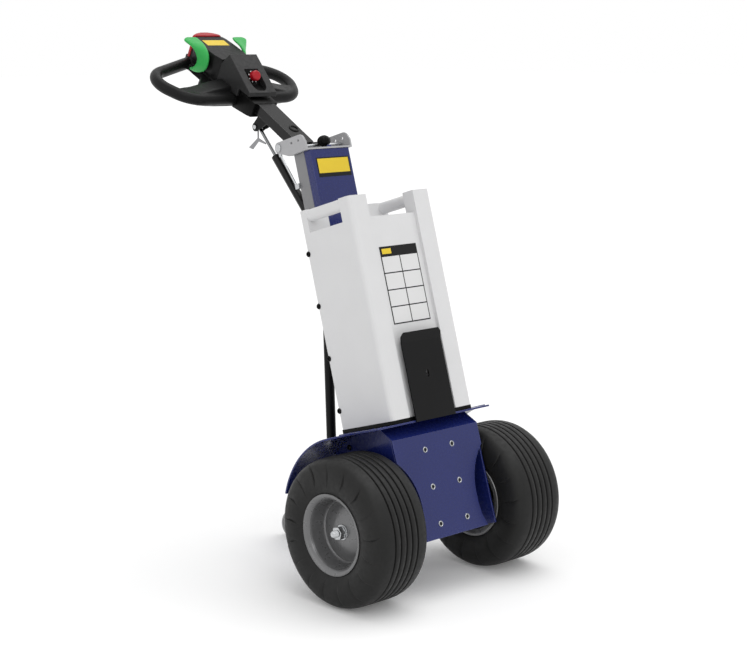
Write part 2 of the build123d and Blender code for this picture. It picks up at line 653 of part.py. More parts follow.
with BuildPart() as castor_wheel:
    with BuildSketch(yz_plane(-CASTOR_WIDTH / 2)):
        with Locations((castor_axle_y, CASTOR_RADIUS)):
            Circle(CASTOR_RADIUS)
            Circle(CASTOR_AXLE_RADIUS + RUNNING_CLEARANCE, mode=Mode.SUBTRACT)
    extrude(amount=CASTOR_WIDTH)
    chamfer(castor_wheel.edges().filter_by(GeomType.CIRCLE).group_by(SortBy.RADIUS)[-1], CASTOR_CHAMFER)
save(castor_wheel, "castor_wheel")

# Battery: tray, housing with two carrying grips, side plugs
with BuildPart() as battery_tray:
    with BuildSketch(lean.level(up=deck_top)):
        Polygon(
            (-BATTERY_HALF + 2, 2), (BATTERY_HALF - 2, 2), (BATTERY_HALF - 2, BATTERY_DEPTH - 1),
            (COLUMN_HALF + CHANNEL_CLEARANCE, BATTERY_DEPTH - 1), (COLUMN_HALF + CHANNEL_CLEARANCE, COLUMN_FRONT - 1),
            (-COLUMN_HALF - CHANNEL_CLEARANCE, COLUMN_FRONT - 1), (-COLUMN_HALF - CHANNEL_CLEARANCE, BATTERY_DEPTH - 1),
            (-BATTERY_HALF + 2, BATTERY_DEPTH - 1), align=None,
        )
    extrude(amount=TRAY_HEIGHT)
save(battery_tray, "battery_tray")

with BuildPart() as battery_case:
    with BuildSketch(lean.level()):
        with Locations((0, BATTERY_DEPTH / 2)):
            RectangleRounded(2 * BATTERY_HALF, BATTERY_DEPTH, BATTERY_FILLET)
    extrude(amount=BATTERY_HEIGHT)
    recess_half = BATTERY_HALF - PILLAR_WIDTH
    with BuildSketch(lean.face()):
        with Locations((0, RECESS_TOP / 2)):
            Rectangle(2 * recess_half, RECESS_TOP)
    extrude(amount=-RECESS_DEPTH, mode=Mode.SUBTRACT)
    with BuildSketch(lean.level(up=GRIP_FLOOR)):
        with Locations((0, (GRIP_FRONT + GRIP_REAR) / 2)):
            Rectangle(2 * BATTERY_HALF, GRIP_REAR - GRIP_FRONT)
    extrude(amount=BATTERY_HEIGHT - GRIP_FLOOR, mode=Mode.SUBTRACT)
    with BuildSketch(lean.level(up=RECESS_TOP)):
        with Locations((0, GRIP_REAR / 2)):
            Rectangle(2 * recess_half, GRIP_REAR)
        with Locations((0, BATTERY_DEPTH / 2)):
            Rectangle(2 * (COLUMN_HALF + CHANNEL_CLEARANCE), BATTERY_DEPTH)
    extrude(amount=BATTERY_HEIGHT - RECESS_TOP, mode=Mode.SUBTRACT)
    with BuildSketch(lean.level()):
        with Locations((0, BATTERY_DEPTH)):
            Rectangle(2 * (COLUMN_HALF + CHANNEL_CLEARANCE), 2 * (BATTERY_DEPTH - COLUMN_FRONT + 1))
    extrude(amount=BATTERY_HEIGHT, mode=Mode.SUBTRACT)
    for side_name, side in SIDES:
        grip_x = side * (BATTERY_HALF - GRIP_RADIUS)
        with BuildSketch(lean.face(along=GRIP_FRONT - GRIP_ANCHOR, up=BATTERY_HEIGHT - GRIP_RADIUS, x=grip_x)):
            Circle(GRIP_RADIUS)
        extrude(amount=-(GRIP_REAR - GRIP_FRONT + 2 * GRIP_ANCHOR))
save(battery_case, "battery_case")

with BuildPart() as battery_plugs:
    for side_name, side in SIDES:
        for plug_height in PLUG_HEIGHTS:
            origin = lean.point(PLUG_DEPTH, plug_height, side * BATTERY_HALF)
            with BuildSketch(Plane(origin=origin, x_dir=(0, 1, 0), z_dir=(side, 0, 0))):
                Circle(PLUG_RADIUS)
            extrude(amount=PLUG_RISE, taper=20)
save(battery_plugs, "battery_plugs")

# Retaining plate: upright sheet with a bent lead-in tab
tab_run = GUIDE_TAB * math.cos(math.radians(GUIDE_TAB_LEAN))
tab_out = GUIDE_TAB * math.sin(math.radians(GUIDE_TAB_LEAN))
with BuildPart() as retaining_plate:
    guide_bottom = deck_bottom
    with BuildSketch(lean.side(x=-GUIDE_HALF)):
        front = DECK_FRONT - GUIDE_SHEET
        Polygon(
            (DECK_FRONT, guide_bottom), (DECK_FRONT, GUIDE_HEIGHT), (DECK_FRONT - tab_out, GUIDE_HEIGHT + tab_run),
            (front - tab_out, GUIDE_HEIGHT + tab_run), (front, GUIDE_HEIGHT), (front, guide_bottom), align=None,
        )
    extrude(amount=2 * GUIDE_HALF)
    with BuildSketch(lean.face(along=DECK_FRONT - GUIDE_TAB)):
        with Locations((0, GUIDE_HOLE_HEIGHT)):
            SlotOverall(GUIDE_HOLE_LENGTH, GUIDE_HOLE_WIDTH, rotation=90)
        for side_name, side in SIDES:
            top = GUIDE_HEIGHT + GUIDE_TAB
            Polygon(
                (side * GUIDE_HALF, top + 1), (side * (GUIDE_HALF - GUIDE_CORNER), top + 1),
                (side * GUIDE_HALF, top - GUIDE_CORNER), align=None,
            )
    extrude(amount=-2 * GUIDE_TAB, mode=Mode.SUBTRACT)
save(retaining_plate, "retaining_plate")

# Column: blue front cover around a grey post
with BuildPart() as column_cover:
    with BuildSketch(lean.level(up=deck_top)):
        with Locations((0, COLUMN_FRONT + COVER_DEPTH / 2)):
            Rectangle(2 * COLUMN_HALF, COVER_DEPTH)
        with Locations((0, COLUMN_FRONT + COVER_SHEET + COVER_DEPTH / 2)):
            Rectangle(2 * (COLUMN_HALF - COVER_SHEET), COVER_DEPTH, mode=Mode.SUBTRACT)
    extrude(amount=COLUMN_TOP - deck_top)
save(column_cover, "column_cover")

with BuildPart() as column_post:
    with BuildSketch(lean.level(up=deck_top)):
        with Locations((0, COLUMN_FRONT + COVER_DEPTH + POST_DEPTH / 2)):
            Rectangle(2 * COLUMN_HALF, POST_DEPTH)
            Rectangle(2 * (COLUMN_HALF - POST_WALL), POST_DEPTH - 2 * POST_WALL, mode=Mode.SUBTRACT)
    extrude(amount=COLUMN_TOP - deck_top)
save(column_post, "column_post")

# Top bracket: a channel with two ears that carry the tiller pivot
with BuildPart() as top_bracket:
    with BuildSketch(lean.level(up=COLUMN_TOP)):
        with Locations((0, (BRACKET_FRONT + BRACKET_BASE_REAR) / 2)):
            Rectangle(2 * BRACKET_HALF, BRACKET_BASE_REAR - BRACKET_FRONT)
    extrude(amount=BRACKET_SHEET)
    ear_top = COLUMN_TOP + EAR_HEIGHT
    for start in (BRACKET_HALF - BRACKET_SHEET, -BRACKET_HALF):
        with BuildSketch(lean.side(x=start)):
            with BuildLine():
                nose = EAR_NOSE
                lobe_top = (PIVOT_DEPTH, PIVOT_HEIGHT + EAR_LOBE)
                lobe_rear = (PIVOT_DEPTH + EAR_LOBE, PIVOT_HEIGHT)
                lobe_low = (PIVOT_DEPTH, PIVOT_HEIGHT - EAR_LOBE)
                Polyline((BRACKET_BASE_REAR, COLUMN_TOP), (BRACKET_FRONT, COLUMN_TOP),
                         (BRACKET_FRONT, ear_top - 2 * nose), (BRACKET_FRONT + nose, ear_top), lobe_top)
                ThreePointArc(lobe_top, (PIVOT_DEPTH + EAR_LOBE * math.sqrt(0.5),
                                         PIVOT_HEIGHT + EAR_LOBE * math.sqrt(0.5)), lobe_rear)
                ThreePointArc(lobe_rear, (PIVOT_DEPTH + EAR_LOBE * math.sqrt(0.5),
                                          PIVOT_HEIGHT - EAR_LOBE * math.sqrt(0.5)), lobe_low)
                Line(lobe_low, (BRACKET_BASE_REAR, COLUMN_TOP))
            make_face()
            with Locations(*[(depth, PIVOT_HEIGHT) for depth in EAR_HOLE_DEPTHS]):
                Circle(EAR_HOLE_RADIUS, mode=Mode.SUBTRACT)
            with Locations((PIVOT_DEPTH, PIVOT_HEIGHT)):
                Circle(PIVOT_RADIUS, mode=Mode.SUBTRACT)
        extrude(amount=BRACKET_SHEET)
save(top_bracket, "top_bracket")

with BuildPart() as pivot_shaft:
    with BuildSketch(tiller.side(x=-BRACKET_HALF)):
        Circle(PIVOT_RADIUS)
    extrude(amount=2 * BRACKET_HALF)
    for start in (BRACKET_HALF, -BRACKET_HALF - PIVOT_HEAD_HEIGHT):
        with BuildSketch(tiller.side(x=start)):
            Circle(PIVOT_HEAD_RADIUS)
        extrude(amount=PIVOT_HEAD_HEIGHT)
save(pivot_shaft, "pivot_shaft")

with BuildPart() as clamp_knob:
    knob_base = COLUMN_TOP + BRACKET_SHEET
    with BuildSketch(lean.level(up=knob_base)):
        with Locations((0, KNOB_DEPTH)):
            Circle(KNOB_STUD_RADIUS)
    extrude(amount=KNOB_STUD_HEIGHT)
    with BuildSketch(lean.level(up=knob_base + KNOB_STUD_HEIGHT)):
        with Locations((0, KNOB_DEPTH)):
            Circle(KNOB_RADIUS - KNOB_LOBE / 2)
            with PolarLocations(KNOB_RADIUS - KNOB_LOBE, KNOB_LOBES):
                Circle(KNOB_LOBE)
    extrude(amount=KNOB_HEIGHT)
save(clamp_knob, "clamp_knob")

# Tiller: flat tube welded on its pivot barrel
with BuildPart() as tiller_barrel:
    barrel_half = BRACKET_HALF - BRACKET_SHEET - SIDE_PLAY
    with BuildSketch(tiller.side(x=-barrel_half)):
        Circle(BARREL_RADIUS)
        Circle(PIVOT_RADIUS + RUNNING_CLEARANCE, mode=Mode.SUBTRACT)
    extrude(amount=2 * barrel_half)
save(tiller_barrel, "tiller_barrel")

with BuildPart() as tiller_tube:
    with BuildSketch(tiller.side(x=-TILLER_WIDTH / 2)):
        with Locations(((TILLER_START + TILLER_END) / 2, TILLER_RISE)):
            Rectangle(TILLER_END - TILLER_START, TILLER_HEIGHT)
        Circle(BARREL_RADIUS, mode=Mode.SUBTRACT)
    extrude(amount=TILLER_WIDTH)
    with BuildSketch(tiller.side(x=-TILLER_WIDTH / 2 + TILLER_WALL)):
        with Locations(((TILLER_START + TILLER_END) / 2, TILLER_RISE)):
            Rectangle(TILLER_END - TILLER_START + 2, TILLER_HEIGHT - 2 * TILLER_WALL)
    extrude(amount=TILLER_WIDTH - 2 * TILLER_WALL, mode=Mode.SUBTRACT)
save(tiller_tube, "tiller_tube")

tube_bottom = TILLER_RISE - TILLER_HEIGHT / 2
tube_top = TILLER_RISE + TILLER_HEIGHT / 2
with BuildPart() as tiller_lug:
    for start in (LUG_OUTER - LUG_CHEEK, -LUG_OUTER):
        with BuildSketch(tiller.side(x=start)):
            Polygon(
                (LUG_FRONT, tube_bottom), (CLAMP_START, tube_bottom), (CLAMP_START, CLAMP_BOTTOM + CLAMP_CUT),
                (EYE_ALONG + LUG_RADIUS - 1, -EYE_DROP + 3), (EYE_ALONG - 4, -EYE_DROP - LUG_RADIUS + 1),
                (EYE_ALONG - 18, -EYE_DROP + 6), align=None,
            )
            with Locations((EYE_ALONG, -EYE_DROP)):
                Circle(LUG_RADIUS)
        extrude(amount=LUG_CHEEK)
    for start in (LUG_OUTER, -LUG_OUTER - PIN_HEAD_HEIGHT):
        with BuildSketch(tiller.side(along=EYE_ALONG, up=-EYE_DROP, x=start)):
            Circle(PIN_HEAD_RADIUS)
        extrude(amount=PIN_HEAD_HEIGHT)
save(tiller_lug, "tiller_lug")

# Gas spring: the body turns on the column's lug, the rod slides in it
with BuildPart() as gas_cylinder:
    with BuildSketch(gas.face(along=GAS_EYE_RADIUS - 1)):
        Circle(GAS_RADIUS)
    extrude(amount=-(GAS_BODY_LENGTH - GAS_EYE_RADIUS + 1))
    with BuildSketch(gas.side(x=-GAS_EYE_HALF)):
        Circle(GAS_EYE_RADIUS)
    extrude(amount=2 * GAS_EYE_HALF)
    with BuildSketch(gas.side(x=-GAS_RADIUS)):
        Circle(GAS_PIN_RADIUS + RUNNING_CLEARANCE)
    extrude(amount=2 * GAS_RADIUS, mode=Mode.SUBTRACT)
    with BuildSketch(gas.face(along=GAS_BODY_LENGTH)):
        Circle(GAS_ROD_RADIUS + RUNNING_CLEARANCE)
    extrude(amount=GAS_BODY_LENGTH - GAS_BORE_START, mode=Mode.SUBTRACT)
    for start in (GAS_EYE_HALF, -GAS_EYE_HALF - 10):
        with BuildSketch(gas.side(x=start)):
            Circle(LUG_RADIUS + 3)
        extrude(amount=10, mode=Mode.SUBTRACT)
save(gas_cylinder, "gas_cylinder")

with BuildPart() as gas_rod:
    with BuildSketch(gas.face(along=GAS_BODY_LENGTH - GAS_ROD_IN_BODY)):
        Circle(GAS_ROD_RADIUS)
    extrude(amount=-(gas_length - GAS_BODY_LENGTH + GAS_ROD_IN_BODY - 2))
    with BuildSketch(gas.side(along=gas_length, x=-GAS_EYE_HALF)):
        Circle(GAS_EYE_RADIUS)
        Circle(GAS_PIN_RADIUS, mode=Mode.SUBTRACT)
    extrude(amount=2 * GAS_EYE_HALF)
save(gas_rod, "gas_rod")

# Tiller head: clamp, core, handle loop, panel and controls
with BuildPart() as head_clamp:
    with BuildSketch(tiller.side(x=-CLAMP_HALF)):
        Polygon((CLAMP_START, CLAMP_TOP), (CLAMP_START, CLAMP_BOTTOM + CLAMP_CUT), (CLAMP_START + CLAMP_CUT, CLAMP_BOTTOM),
                (CLAMP_END, CLAMP_BOTTOM), (CLAMP_END, CLAMP_TOP), align=None)
    extrude(amount=2 * CLAMP_HALF)
    with BuildSketch(tiller.face(along=CLAMP_START)):
        with Locations((0, TILLER_RISE)):
            Rectangle(TILLER_WIDTH, TILLER_HEIGHT)
    extrude(amount=-(CLAMP_END - CLAMP_START), mode=Mode.SUBTRACT)
save(head_clamp, "head_clamp")

# Spine that steps up to the panel
with BuildPart() as head_core:
    with BuildSketch(head.side(x=-SPINE_HALF)):
        Polygon(*SPINE_OUTLINE, align=None)
    extrude(amount=2 * SPINE_HALF)
save(head_core, "head_core")

# Room for the clamp, taken out of the pieces around it
with BuildPart() as clamp_space:
    with BuildSketch(tiller.side(x=-CLAMP_HALF)):
        Polygon((CLAMP_START - 50, CLAMP_BOTTOM - 50), (CLAMP_END, CLAMP_BOTTOM - 50), (CLAMP_END, CLAMP_TOP),
                (CLAMP_START - 50, CLAMP_TOP), align=None)
    extrude(amount=2 * CLAMP_HALF)

with BuildPart() as control_panel:
    with BuildSketch(head.side(x=-PANEL_HALF)):
        Polygon(*PANEL_OUTLINE, align=None)
    extrude(amount=2 * PANEL_HALF)
    with BuildSketch(head.side(x=-POCKET_HALF)):
        Polygon(*POCKET_OUTLINE, align=None)
    extrude(amount=2 * POCKET_HALF, mode=Mode.SUBTRACT)
    add(clamp_space.part, mode=Mode.SUBTRACT)
save(control_panel, "control_panel")

wall_low, wall_high = POCKET_OUTLINE[1], POCKET_OUTLINE[2]
switch_seat = ((wall_low[0] + wall_high[0]) / 2, (wall_low[1] + wall_high[1]) / 2)
switch_point = head.point(*switch_seat)
wall_a = head.point(*wall_low)
wall_b = head.point(*wall_high)
wall_direction = (0.0, wall_b[1] - wall_a[1], wall_b[2] - wall_a[2])
switch_axis = (0.0, -wall_direction[2], wall_direction[1])
switch_plane = Plane(origin=switch_point, x_dir=(1, 0, 0), z_dir=switch_axis)
with BuildPart() as switch_collar:
    with BuildSketch(switch_plane):
        Circle(COLLAR_RADIUS)
    extrude(amount=COLLAR_HEIGHT)
save(switch_collar, "switch_collar")

with BuildPart() as switch_knob:
    with BuildSketch(switch_plane.offset(COLLAR_HEIGHT)):
        Circle(SWITCH_RADIUS)
    extrude(amount=SWITCH_HEIGHT)
    chamfer(switch_knob.faces().sort_by(Axis(switch_point, switch_axis))[-1].edges(), SWITCH_CHAMFER)
save(switch_knob, "switch_knob")

# Belly button behind the spine
with BuildPart() as belly_button:
    with BuildSketch(head.level(up=BASE_TOP)):
        Polygon(*BUTTON_OUTLINE, *[(-x, along) for x, along in reversed(BUTTON_OUTLINE)], align=None)
    extrude(amount=BUTTON_TOP - BASE_TOP)
    button_rim = belly_button.faces().sort_by(Axis(head.point(0, 0), head.level().z_dir))[-1].edges()
    fillet(button_rim.sort_by(Axis.Y)[1:], BUTTON_ROUNDING)
save(belly_button, "belly_button")

# Handle loop: tube with a deep body across the front
with BuildPart() as handle_loop:
    with BuildLine(head.level()):
        loop_path = FilletPolyline(
            *[(-x, along) for x, along in LOOP_PATH], *reversed(LOOP_PATH), radius=LOOP_CORNER,
        )
    with BuildSketch(Plane(origin=loop_path @ 0, z_dir=loop_path % 0)):
        RegularPolygon(LOOP_RADIUS, LOOP_FACETS)
    sweep()
    for side_name, side in SIDES:
        for x, along, up, depth, height, radius in BODY_SECTIONS:
            with BuildSketch(head.side(x=side * x)):
                with Locations((along, up)):
                    RectangleRounded(depth, height, radius)
        loft()
    inner_x, along, up, depth, height, radius = BODY_SECTIONS[0]
    with BuildSketch(head.side(x=-inner_x)):
        with Locations((along, up)):
            RectangleRounded(depth, height, radius)
    extrude(amount=2 * inner_x)
    with BuildSketch(head.level(up=BASE_BOTTOM)):
        Polygon(*BASE_OUTLINE, *[(-x, along) for x, along in reversed(BASE_OUTLINE)], align=None)
    extrude(amount=BASE_TOP - BASE_BOTTOM, taper=BASE_TAPER)
    add(clamp_space.part, mode=Mode.SUBTRACT)
    with BuildSketch(head.side(x=-PANEL_HALF)):
        Polygon(*PANEL_OUTLINE, align=None)
    extrude(amount=2 * PANEL_HALF, mode=Mode.SUBTRACT)
save(handle_loop, "handle_loop")

# Butterfly levers on both sides of the spine
for side_name, side in SIDES:
    with BuildPart() as throttle:
        for inner, outer, outline in ((LEVER_INNER, LEVER_OUTER, LEVER_OUTLINE), (LEVER_OUTER, LEVER_TIP, FINGER_OUTLINE)):
            with BuildSketch(head.side(x=inner if side > 0 else -outer)):
                Polygon(*outline, align=None)
            extrude(amount=outer - inner)
        with BuildSketch(head.side(x=SPINE_HALF if side > 0 else -LEVER_INNER)):
            with Locations(LEVER_HUB):
                Circle(LEVER_HUB_RADIUS)
        extrude(amount=LEVER_INNER - SPINE_HALF)
    save(throttle, f"throttle_lever_{side_name}")

# Release lever on the rod's eye, between the eye and the left cheek of the lug
with BuildPart() as release_lever:
    with BuildSketch(gas.side(x=-GAS_EYE_HALF - RELEASE_SHEET)):
        Polygon(*[(gas_length + along, up) for along, up in RELEASE_OUTLINE], align=None)
        with Locations((gas_length, 0)):
            Circle(GAS_EYE_RADIUS)
            Circle(GAS_PIN_RADIUS, mode=Mode.SUBTRACT)
    extrude(amount=RELEASE_SHEET)
save(release_lever, "release_lever")
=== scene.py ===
"""Looks of the electric cart mover: finishes, moulded and turned pieces, stage, lamps and camera.

Pieces are shaped in millimetres in the frame of the sub-assembly that they sit in, then laid into
the machine's own frame in metres: X along the axle, the hitch plate at -Y, the operator at +Y.
"""
import json
import logging
import math
from collections.abc import Callable, Iterable, Sequence
from dataclasses import dataclass
from enum import Enum

import bmesh
import bpy
from mathutils import Matrix, Vector

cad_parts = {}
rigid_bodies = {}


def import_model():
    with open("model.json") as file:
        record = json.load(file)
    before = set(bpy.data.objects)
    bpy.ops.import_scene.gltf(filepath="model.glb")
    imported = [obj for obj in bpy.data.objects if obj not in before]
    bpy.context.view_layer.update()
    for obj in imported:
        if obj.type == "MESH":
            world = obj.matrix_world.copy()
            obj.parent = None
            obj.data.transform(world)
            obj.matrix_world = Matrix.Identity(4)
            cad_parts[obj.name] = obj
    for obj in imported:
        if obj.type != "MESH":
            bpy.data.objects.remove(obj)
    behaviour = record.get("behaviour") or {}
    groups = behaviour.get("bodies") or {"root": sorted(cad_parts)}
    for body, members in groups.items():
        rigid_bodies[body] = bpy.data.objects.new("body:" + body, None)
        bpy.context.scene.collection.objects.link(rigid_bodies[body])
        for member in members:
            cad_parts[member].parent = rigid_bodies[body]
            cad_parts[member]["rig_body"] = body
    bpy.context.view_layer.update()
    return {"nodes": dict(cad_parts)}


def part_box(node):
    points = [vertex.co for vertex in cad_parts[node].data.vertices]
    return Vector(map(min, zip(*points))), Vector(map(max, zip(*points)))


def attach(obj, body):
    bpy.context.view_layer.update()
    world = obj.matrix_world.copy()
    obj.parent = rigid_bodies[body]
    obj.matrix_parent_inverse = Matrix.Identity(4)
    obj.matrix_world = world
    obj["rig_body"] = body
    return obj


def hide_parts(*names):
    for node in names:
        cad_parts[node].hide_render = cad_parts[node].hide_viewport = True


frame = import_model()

MM = 0.001
LOG = logging.getLogger("cart_mover")
SIDES = (("left", -1.0), ("right", 1.0))
TYRE_LOW, TYRE_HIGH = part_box("tyre_left")
AXLE_Y = (TYRE_LOW.y + TYRE_HIGH.y) / 2 / MM
AXLE_Z = (TYRE_LOW.z + TYRE_HIGH.z) / 2 / MM
TO_METRES = Matrix.Scale(MM, 4)
Point2 = tuple[float, float]
Point3 = tuple[float, float, float]
Colour = tuple[float, float, float]
Vert = bmesh.types.BMVert
Edge = bmesh.types.BMEdge
Face = bmesh.types.BMFace
Socket = bpy.types.NodeSocket
EdgeTest = Callable[[Edge], bool]

Section = tuple[float, tuple[Point2, ...], tuple[float, ...]]

# Sizes of the patterns in the finishes, mm.
PATCH_SIZE, STREAK_SIZE, WEAR_AND_HIGHLIGHT_PATCH, WEAR_AND_HIGHLIGHT_WIDTH = 70.0, 9.0, 14.0, 1.6
COARSE_RUBBER, COARSE_CAST = 6.0, 5.0
# Change of roughness in streaks and on worn edges and edges with a painted highlight, and the
# roughness of the clear coat.
DULLER, GLOSSIER, WEAR_AND_HIGHLIGHT_DULLER, COAT_ROUGHNESS = 1.2, 0.85, 0.2, 0.12
# Points closer than this are merged, mm: in forms built here and in copies of solids.
MERGE_DISTANCE, SOLID_MERGE_DISTANCE = 0.001, 0.002
# Faces that turn by less than this many degrees are joined; share of one smoothing pass.
FLAT_ANGLE, SOFTENING = 0.6, 0.5


@dataclass(frozen=True)
class Slope:
    """Frame in the YZ plane: x across, `along` back and up at a pitch, `up` square to it.

    Its origin is given from the axle (y) and the floor (z), mm, its pitch in degrees.
    """

    y: float
    z: float
    pitch: float

    def flat(self, along: float, up: float) -> Point2:
        """Give (y behind the axle, z) of a place in the frame.

        Args:
            along: Distance back along the slope, mm.
            up: Distance square to the slope, mm.

        Returns:
            The place as (y, z), mm.
        """
        c, s = math.cos(math.radians(self.pitch)), math.sin(math.radians(self.pitch))
        return self.y + along * c - up * s, self.z + along * s + up * c

    def matrix(self) -> Matrix:
        """Give the transform from the frame's millimetres to the machine's metres.

        Returns:
            The transform.
        """
        place = Matrix.Translation(Vector((0.0, AXLE_Y + self.y, self.z)))
        return TO_METRES @ place @ Matrix.Rotation(math.radians(self.pitch), 4, "X")


LEAN = Slope(-25.6, 395.0, -16.5)
HITCH = Slope(-33.0, 353.0, -17.65)
PIVOT = LEAN.flat(262.7, 669.0)
TILLER = Slope(PIVOT[0], PIVOT[1], 30.5)
HEAD = Slope(*TILLER.flat(348.78, -23.63), 26.0)


class Grain(Enum):
    """Kind of fine relief that a finish has."""

    POWDER = "powder coat"
    MOULDED = "moulded plastic"
    RUBBER = "rubber"
    CAST = "casting"
    PLATED = "plated metal"
    SMOOTH = "smooth"


class Graph:
    """Node tree of one material, built socket by socket."""

    def __init__(self, name: str) -> None:
        """Start a material with one shader.

        Args:
            name: Name of the material.
        """
        self.material = bpy.data.materials.new(name)
        self.material.use_nodes = True
        self.nodes = self.material.node_tree.nodes
        self.links = self.material.node_tree.links
        self.shader = self.nodes["Principled BSDF"]
        self.place = self.add("TexCoord").outputs["Object"]

    def add(self, kind: str, **settings: object) -> bpy.types.Node:
        """Add a node.

        Args:
            kind: Type of the node after "ShaderNode".
            **settings: Properties to set on it.

        Returns:
            The new node.
        """
        node = self.nodes.new("ShaderNode" + kind)
        for key, value in settings.items():
            setattr(node, key, value)
        return node

    def feed(self, socket: Socket, value: object) -> None:
        """Link a socket to another one, or set its value.

        Args:
            socket: Input to feed.
            value: Output to link to it, or a value.
        """
        if isinstance(value, Socket):
            self.links.new(value, socket)
        else:
            socket.default_value = value

    def noise(self, size: float, detail: float = 2.0,
              stretch: Point3 = (1.0, 1.0, 1.0)) -> Socket:
        """Add a noise pattern.

        Args:
            size: Size of its features, mm.
            detail: Number of finer layers.
            stretch: Scale along X, Y and Z.

        Returns:
            The noise's value.
        """
        mapping = self.add("Mapping")
        mapping.inputs["Scale"].default_value = stretch
        self.feed(mapping.inputs["Vector"], self.place)
        noise = self.add("TexNoise")
        noise.inputs["Scale"].default_value = 1.0 / (size * MM)
        noise.inputs["Detail"].default_value = detail
        self.feed(noise.inputs["Vector"], mapping.outputs["Vector"])
        return noise.outputs["Fac"]

    def cells(self, size: float) -> Socket:
        """Add a pattern of rounded cells.

        Args:
            size: Size of a cell, mm.

        Returns:
            The distance to the cell's middle.
        """
        cells = self.add("TexVoronoi", feature="SMOOTH_F1")
        cells.inputs["Scale"].default_value = 1.0 / (size * MM)
        self.feed(cells.inputs["Vector"], self.place)
        return cells.outputs["Distance"]

    def span(self, value: object, low: float, high: float, start: float = 0.0,
             end: float = 1.0) -> Socket:
        """Spread a value over a range.

        Args:
            value: The socket to spread.
            low: Result at the start.
            high: Result at the end.
            start: Value that gives the low result.
            end: Value that gives the high result.

        Returns:
            The spread value.
        """
        node = self.add("MapRange")
        limits = {"From Min": start, "From Max": end, "To Min": low, "To Max": high}
        for key, number in limits.items():
            node.inputs[key].default_value = number
        self.feed(node.inputs["Value"], value)
        return node.outputs["Result"]

    def math(self, operation: str, first: object, second: object) -> Socket:
        """Combine two values.

        Args:
            operation: Name of the operation, such as MULTIPLY.
            first: First socket or number.
            second: Second socket or number.

        Returns:
            The result.
        """
        node = self.add("Math", operation=operation)
        self.feed(node.inputs[0], first)
        self.feed(node.inputs[1], second)
        return node.outputs[0]

    def mix(self, share: object, first: object, second: object) -> Socket:
        """Mix two colours.

        Args:
            share: Share of the second colour.
            first: First socket or colour.
            second: Second socket or colour.

        Returns:
            The mixed colour.
        """
        node = self.add("Mix", data_type="RGBA")
        self.feed(node.inputs["Factor"], share)
        self.feed(node.inputs[6], first)
        self.feed(node.inputs[7], second)
        return node.outputs[2]

    def edges(self, width: float) -> Socket:
        """Find the piece's edges, where the normal turns within a short distance.

        Args:
            width: Width looked over, mm.

        Returns:
            A mask, 1 on the edges.
        """
        around = self.add("Bevel", samples=4)
        around.inputs["Radius"].default_value = width * MM
        turn = self.add("VectorMath", operation="DOT_PRODUCT")
        self.feed(turn.inputs[0], around.outputs["Normal"])
        self.feed(turn.inputs[1], self.add("NewGeometry").outputs["True Normal"])
        return self.span(turn.outputs["Value"], 1.0, 0.0, 0.82, 0.97)

    def relief(self, height: object, depth: float, under: object = None) -> Socket:
        """Add a bump.

        Args:
            height: Height pattern from 0 to 1.
            depth: Height of the pattern, mm.
            under: Normal of a coarser bump below it.

        Returns:
            The bent normal.
        """
        bump = self.add("Bump")
        bump.inputs["Strength"].default_value = 1.0
        bump.inputs["Distance"].default_value = depth * MM
        self.feed(bump.inputs["Height"], height)
        if under is not None:
            self.feed(bump.inputs["Normal"], under)
        return bump.outputs["Normal"]


